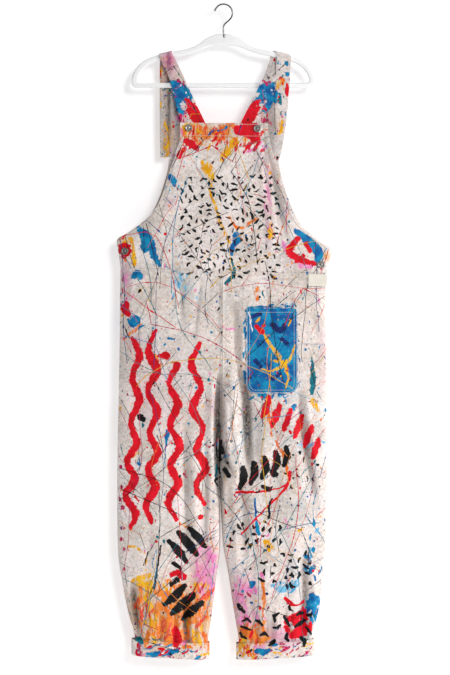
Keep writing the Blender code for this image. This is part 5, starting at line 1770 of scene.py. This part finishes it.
PLASTIC, tree, shader, place = new_material("milky_white_polypropylene")
cloud = noise(tree, place, 30, 3).outputs[0]
rub = noise(tree, place, 240, 4).outputs[0]
feed(tree, shader, {
    "Base Color": blended(tree, cloud, "#F0F0F0", "#F8F8F8"),
    "Roughness": fitted(tree, rub, 0.3, 0.7, 0.24, 0.38),
    "Subsurface Weight": 0.3, "Subsurface Radius": (0.01, 0.01, 0.01), "Subsurface Scale": 0.3,
})
bumped(tree, shader, rub, 0.08, 0.0003)
dressed(hanger, PLASTIC, "hanger_plastic", "hanger_body")

# ======== Hook
# Round 3.8 mm steel wire bent to a hook, nickel plated and gone dull, its tip rounded off,
# its stem pressed into the hanger's neck.

HOOK_WIRE = 0.0038
HOOK_INNER_RADIUS = 0.0191
radius = HOOK_INNER_RADIUS + HOOK_WIRE / 2
centre_z = -HOOK_INNER_RADIUS
tip_angle, last_angle = math.radians(168), math.radians(-42)
route = []
for i in range(41):
    angle = tip_angle + (last_angle - tip_angle) * i / 40
    route.append(Vector((radius * math.cos(angle), 0, centre_z + radius * math.sin(angle))))
leave = Vector((math.sin(last_angle), 0, -math.cos(last_angle)))
arc_end, neck_start, sweep = route[-1].copy(), Vector((0, 0, -0.0560)), 0.022
for i in range(1, 19):
    t = i / 18
    route.append(
        arc_end * (1 - t) ** 3
        + (arc_end + leave * sweep * 0.8) * 3 * t * (1 - t) ** 2
        + (neck_start + Vector((0, 0, sweep * 0.6))) * 3 * t**2 * (1 - t)
        + neck_start * t**3
    )
route.append(Vector((0, 0, -0.066)))
route.append(Vector((0, 0, NECK_SLOT_FLOOR + GAP)))
# the tip closes in a dome
heading = (route[0] - route[1]).normalized()
dome = [(math.sin(a), math.cos(a)) for a in np.linspace(0.15, math.pi / 2, 6)]
domed = [route[0] + heading * HOOK_WIRE / 2 * (c - 1) for _, c in dome]
radii = [s for s, _ in dome] + [1.0] * (len(route) - 1)
route = domed + route[1:]
hook = from_curve(
    "hook_wire", [[(*point, share) for point, share in zip(route, radii)]], False, 0.00002,
    dimensions="3D", bevel_depth=HOOK_WIRE / 2, bevel_resolution=5, use_fill_caps=True,
)
bpy.ops.object.shade_smooth_by_angle(angle=math.radians(50))

STEEL, tree, shader, place = new_material("dull_nickel_plated_wire")
haze = noise(tree, place, 160, 4).outputs[0]
feed(tree, shader, {
    "Base Color": blended(tree, haze, "#4E4E50", "#8C8C8E"),
    "Roughness": fitted(tree, haze, 0.3, 0.7, 0.22, 0.36), "Metallic": 1.0,
})
# drawing lines of the wire, finer in truth
bumped(tree, shader, noise(tree, place, 1400, 1).outputs[0], 0.1, 0.0001)
dressed(hook, STEEL, "hook_steel", "hanger_hook")

# ======== What each cloth was cut to
# Width and length in metres of what shows of each cut, before seams; the area too where
# the cut isn't a rectangle. Straps are folded canvas, counted as they lie.

cuts = [
    (bib_front, (0.540, 0.400), "hung", 0.120, []),
    (bib_back, (0.540, 0.310), "hung", 0.103, []),
    (bib_hem, (0.215, 0.035), "folded", None, [bib_front]),
    (patch_pocket, (0.121, 0.201), "laid", None, [legs["front", "right"]]),
    (waist_label, (0.043, 0.030), "hung", None, [legs["front", "right"]]),
]
for name in ("left", "right"):
    cuts += [
        (legs["front", name], (0.275, 0.955), "hung", 0.240, []),
        (legs["back", name], (0.285, 0.955), "hung", 0.240, []),
        (cuffs[name], (0.420, 0.046), "folded", None, [legs["front", name], legs["back", name]]),
        (straps["strap_front_" + name], (0.060, 0.145), "hung", 0.0073, [bib_front]),
        (straps["strap_shoulder_" + name], (0.036, 0.345), "hung", 0.0115, [hanger]),
    ]
cuts += [
    (straps["strap_tail_left"], (0.0245, 0.2310), "hung", None, [straps["strap_shoulder_left"]]),
    (straps["strap_tail_right"], (0.033, 0.190), "hung", 0.0053, [straps["strap_shoulder_right"]]),
]

# ======== Studio
# A white sweep a few millimetres behind the garment, seen only from its lit side, a soft
# key from the right, a side light that misses the sweep, and a long lens straight on.

WALL_Y = 0.041
FLOOR_Z = -1.70
BEND = 0.12
sweep = [(-3.2, FLOOR_Z)]
sweep += [
    (WALL_Y - BEND + BEND * math.sin(a), FLOOR_Z + BEND - BEND * math.cos(a))
    for a in np.linspace(0, math.pi / 2, 18)
]
sweep += [(WALL_Y, 1.6)]
vertices = [(x, y, z) for y, z in sweep for x in (-3.0, 3.0)]
faces = [(2 * i, 2 * i + 1, 2 * i + 3, 2 * i + 2) for i in range(len(sweep) - 1)]
mesh = bpy.data.meshes.new("studio_sweep")
mesh.from_pydata(vertices, [], faces)
backdrop = placed("studio_sweep", mesh)
for polygon in mesh.polygons:
    polygon.use_smooth = True
PAPER, tree, shader, _ = new_material("white_background_paper")
feed(tree, shader, {
    "Base Color": (0.93, 0.93, 0.935, 1), "Roughness": 0.9, "Specular IOR Level": 0.0,
    "Emission Color": (1, 1, 1, 1), "Emission Strength": 0.36,
})
behind = add(tree, "NewGeometry").outputs["Backfacing"]
clear = add(tree, "BsdfTransparent")
seen = add(tree, "MixShader", {0: behind, 1: shader.outputs[0], 2: clear.outputs[0]})
tree.links.new(seen.outputs[0], tree.nodes["Material Output"].inputs[0])
backdrop.data.materials.append(PAPER)

world = bpy.data.worlds.new("studio_surround")
bpy.context.scene.world = world
world.use_nodes = True
background = world.node_tree.nodes["Background"]
background.inputs["Color"].default_value = (1, 1, 1, 1)
background.inputs["Strength"].default_value = 0.22


def softbox(name, place, target, size, watts):
    lamp = bpy.data.lights.new(name, "AREA")
    lamp.shape = "DISK"
    lamp.size = size
    lamp.energy = watts
    made = placed(name, lamp)
    made.location = place
    made.rotation_euler = (Vector(target) - Vector(place)).to_track_quat("-Z", "Y").to_euler()
    return made


softbox("key", (2.6, -5.6, 1.4), (0, 0, -0.80), 2.4, 172)
# the side light is flagged off the background, so it only models the folds
side = softbox("side", (5.2, -1.9, 0.4), (0, 0, -0.80), 0.7, 185)
flagged = bpy.data.collections.new("flagged_off_the_side_light")
flagged.objects.link(backdrop)
flagged.collection_objects[0].light_linking.link_state = "EXCLUDE"
side.light_linking.receiver_collection = flagged

bpy.context.scene.view_settings.view_transform = "Standard"
bpy.context.scene.view_settings.look = "None"

camera_data = bpy.data.cameras.new("camera")
camera = placed("camera", camera_data)
CAMERA_DISTANCE = 5.0
FRAME_HEIGHT = 1.586
camera.location = (0.0035, -CAMERA_DISTANCE, -0.7814)
camera.rotation_euler = (math.pi / 2, 0, 0)
camera_data.sensor_fit = "VERTICAL"
camera_data.sensor_height = 24
camera_data.lens = 24 * CAMERA_DISTANCE / FRAME_HEIGHT
camera_data.clip_end = 50
bpy.context.scene.camera = camera
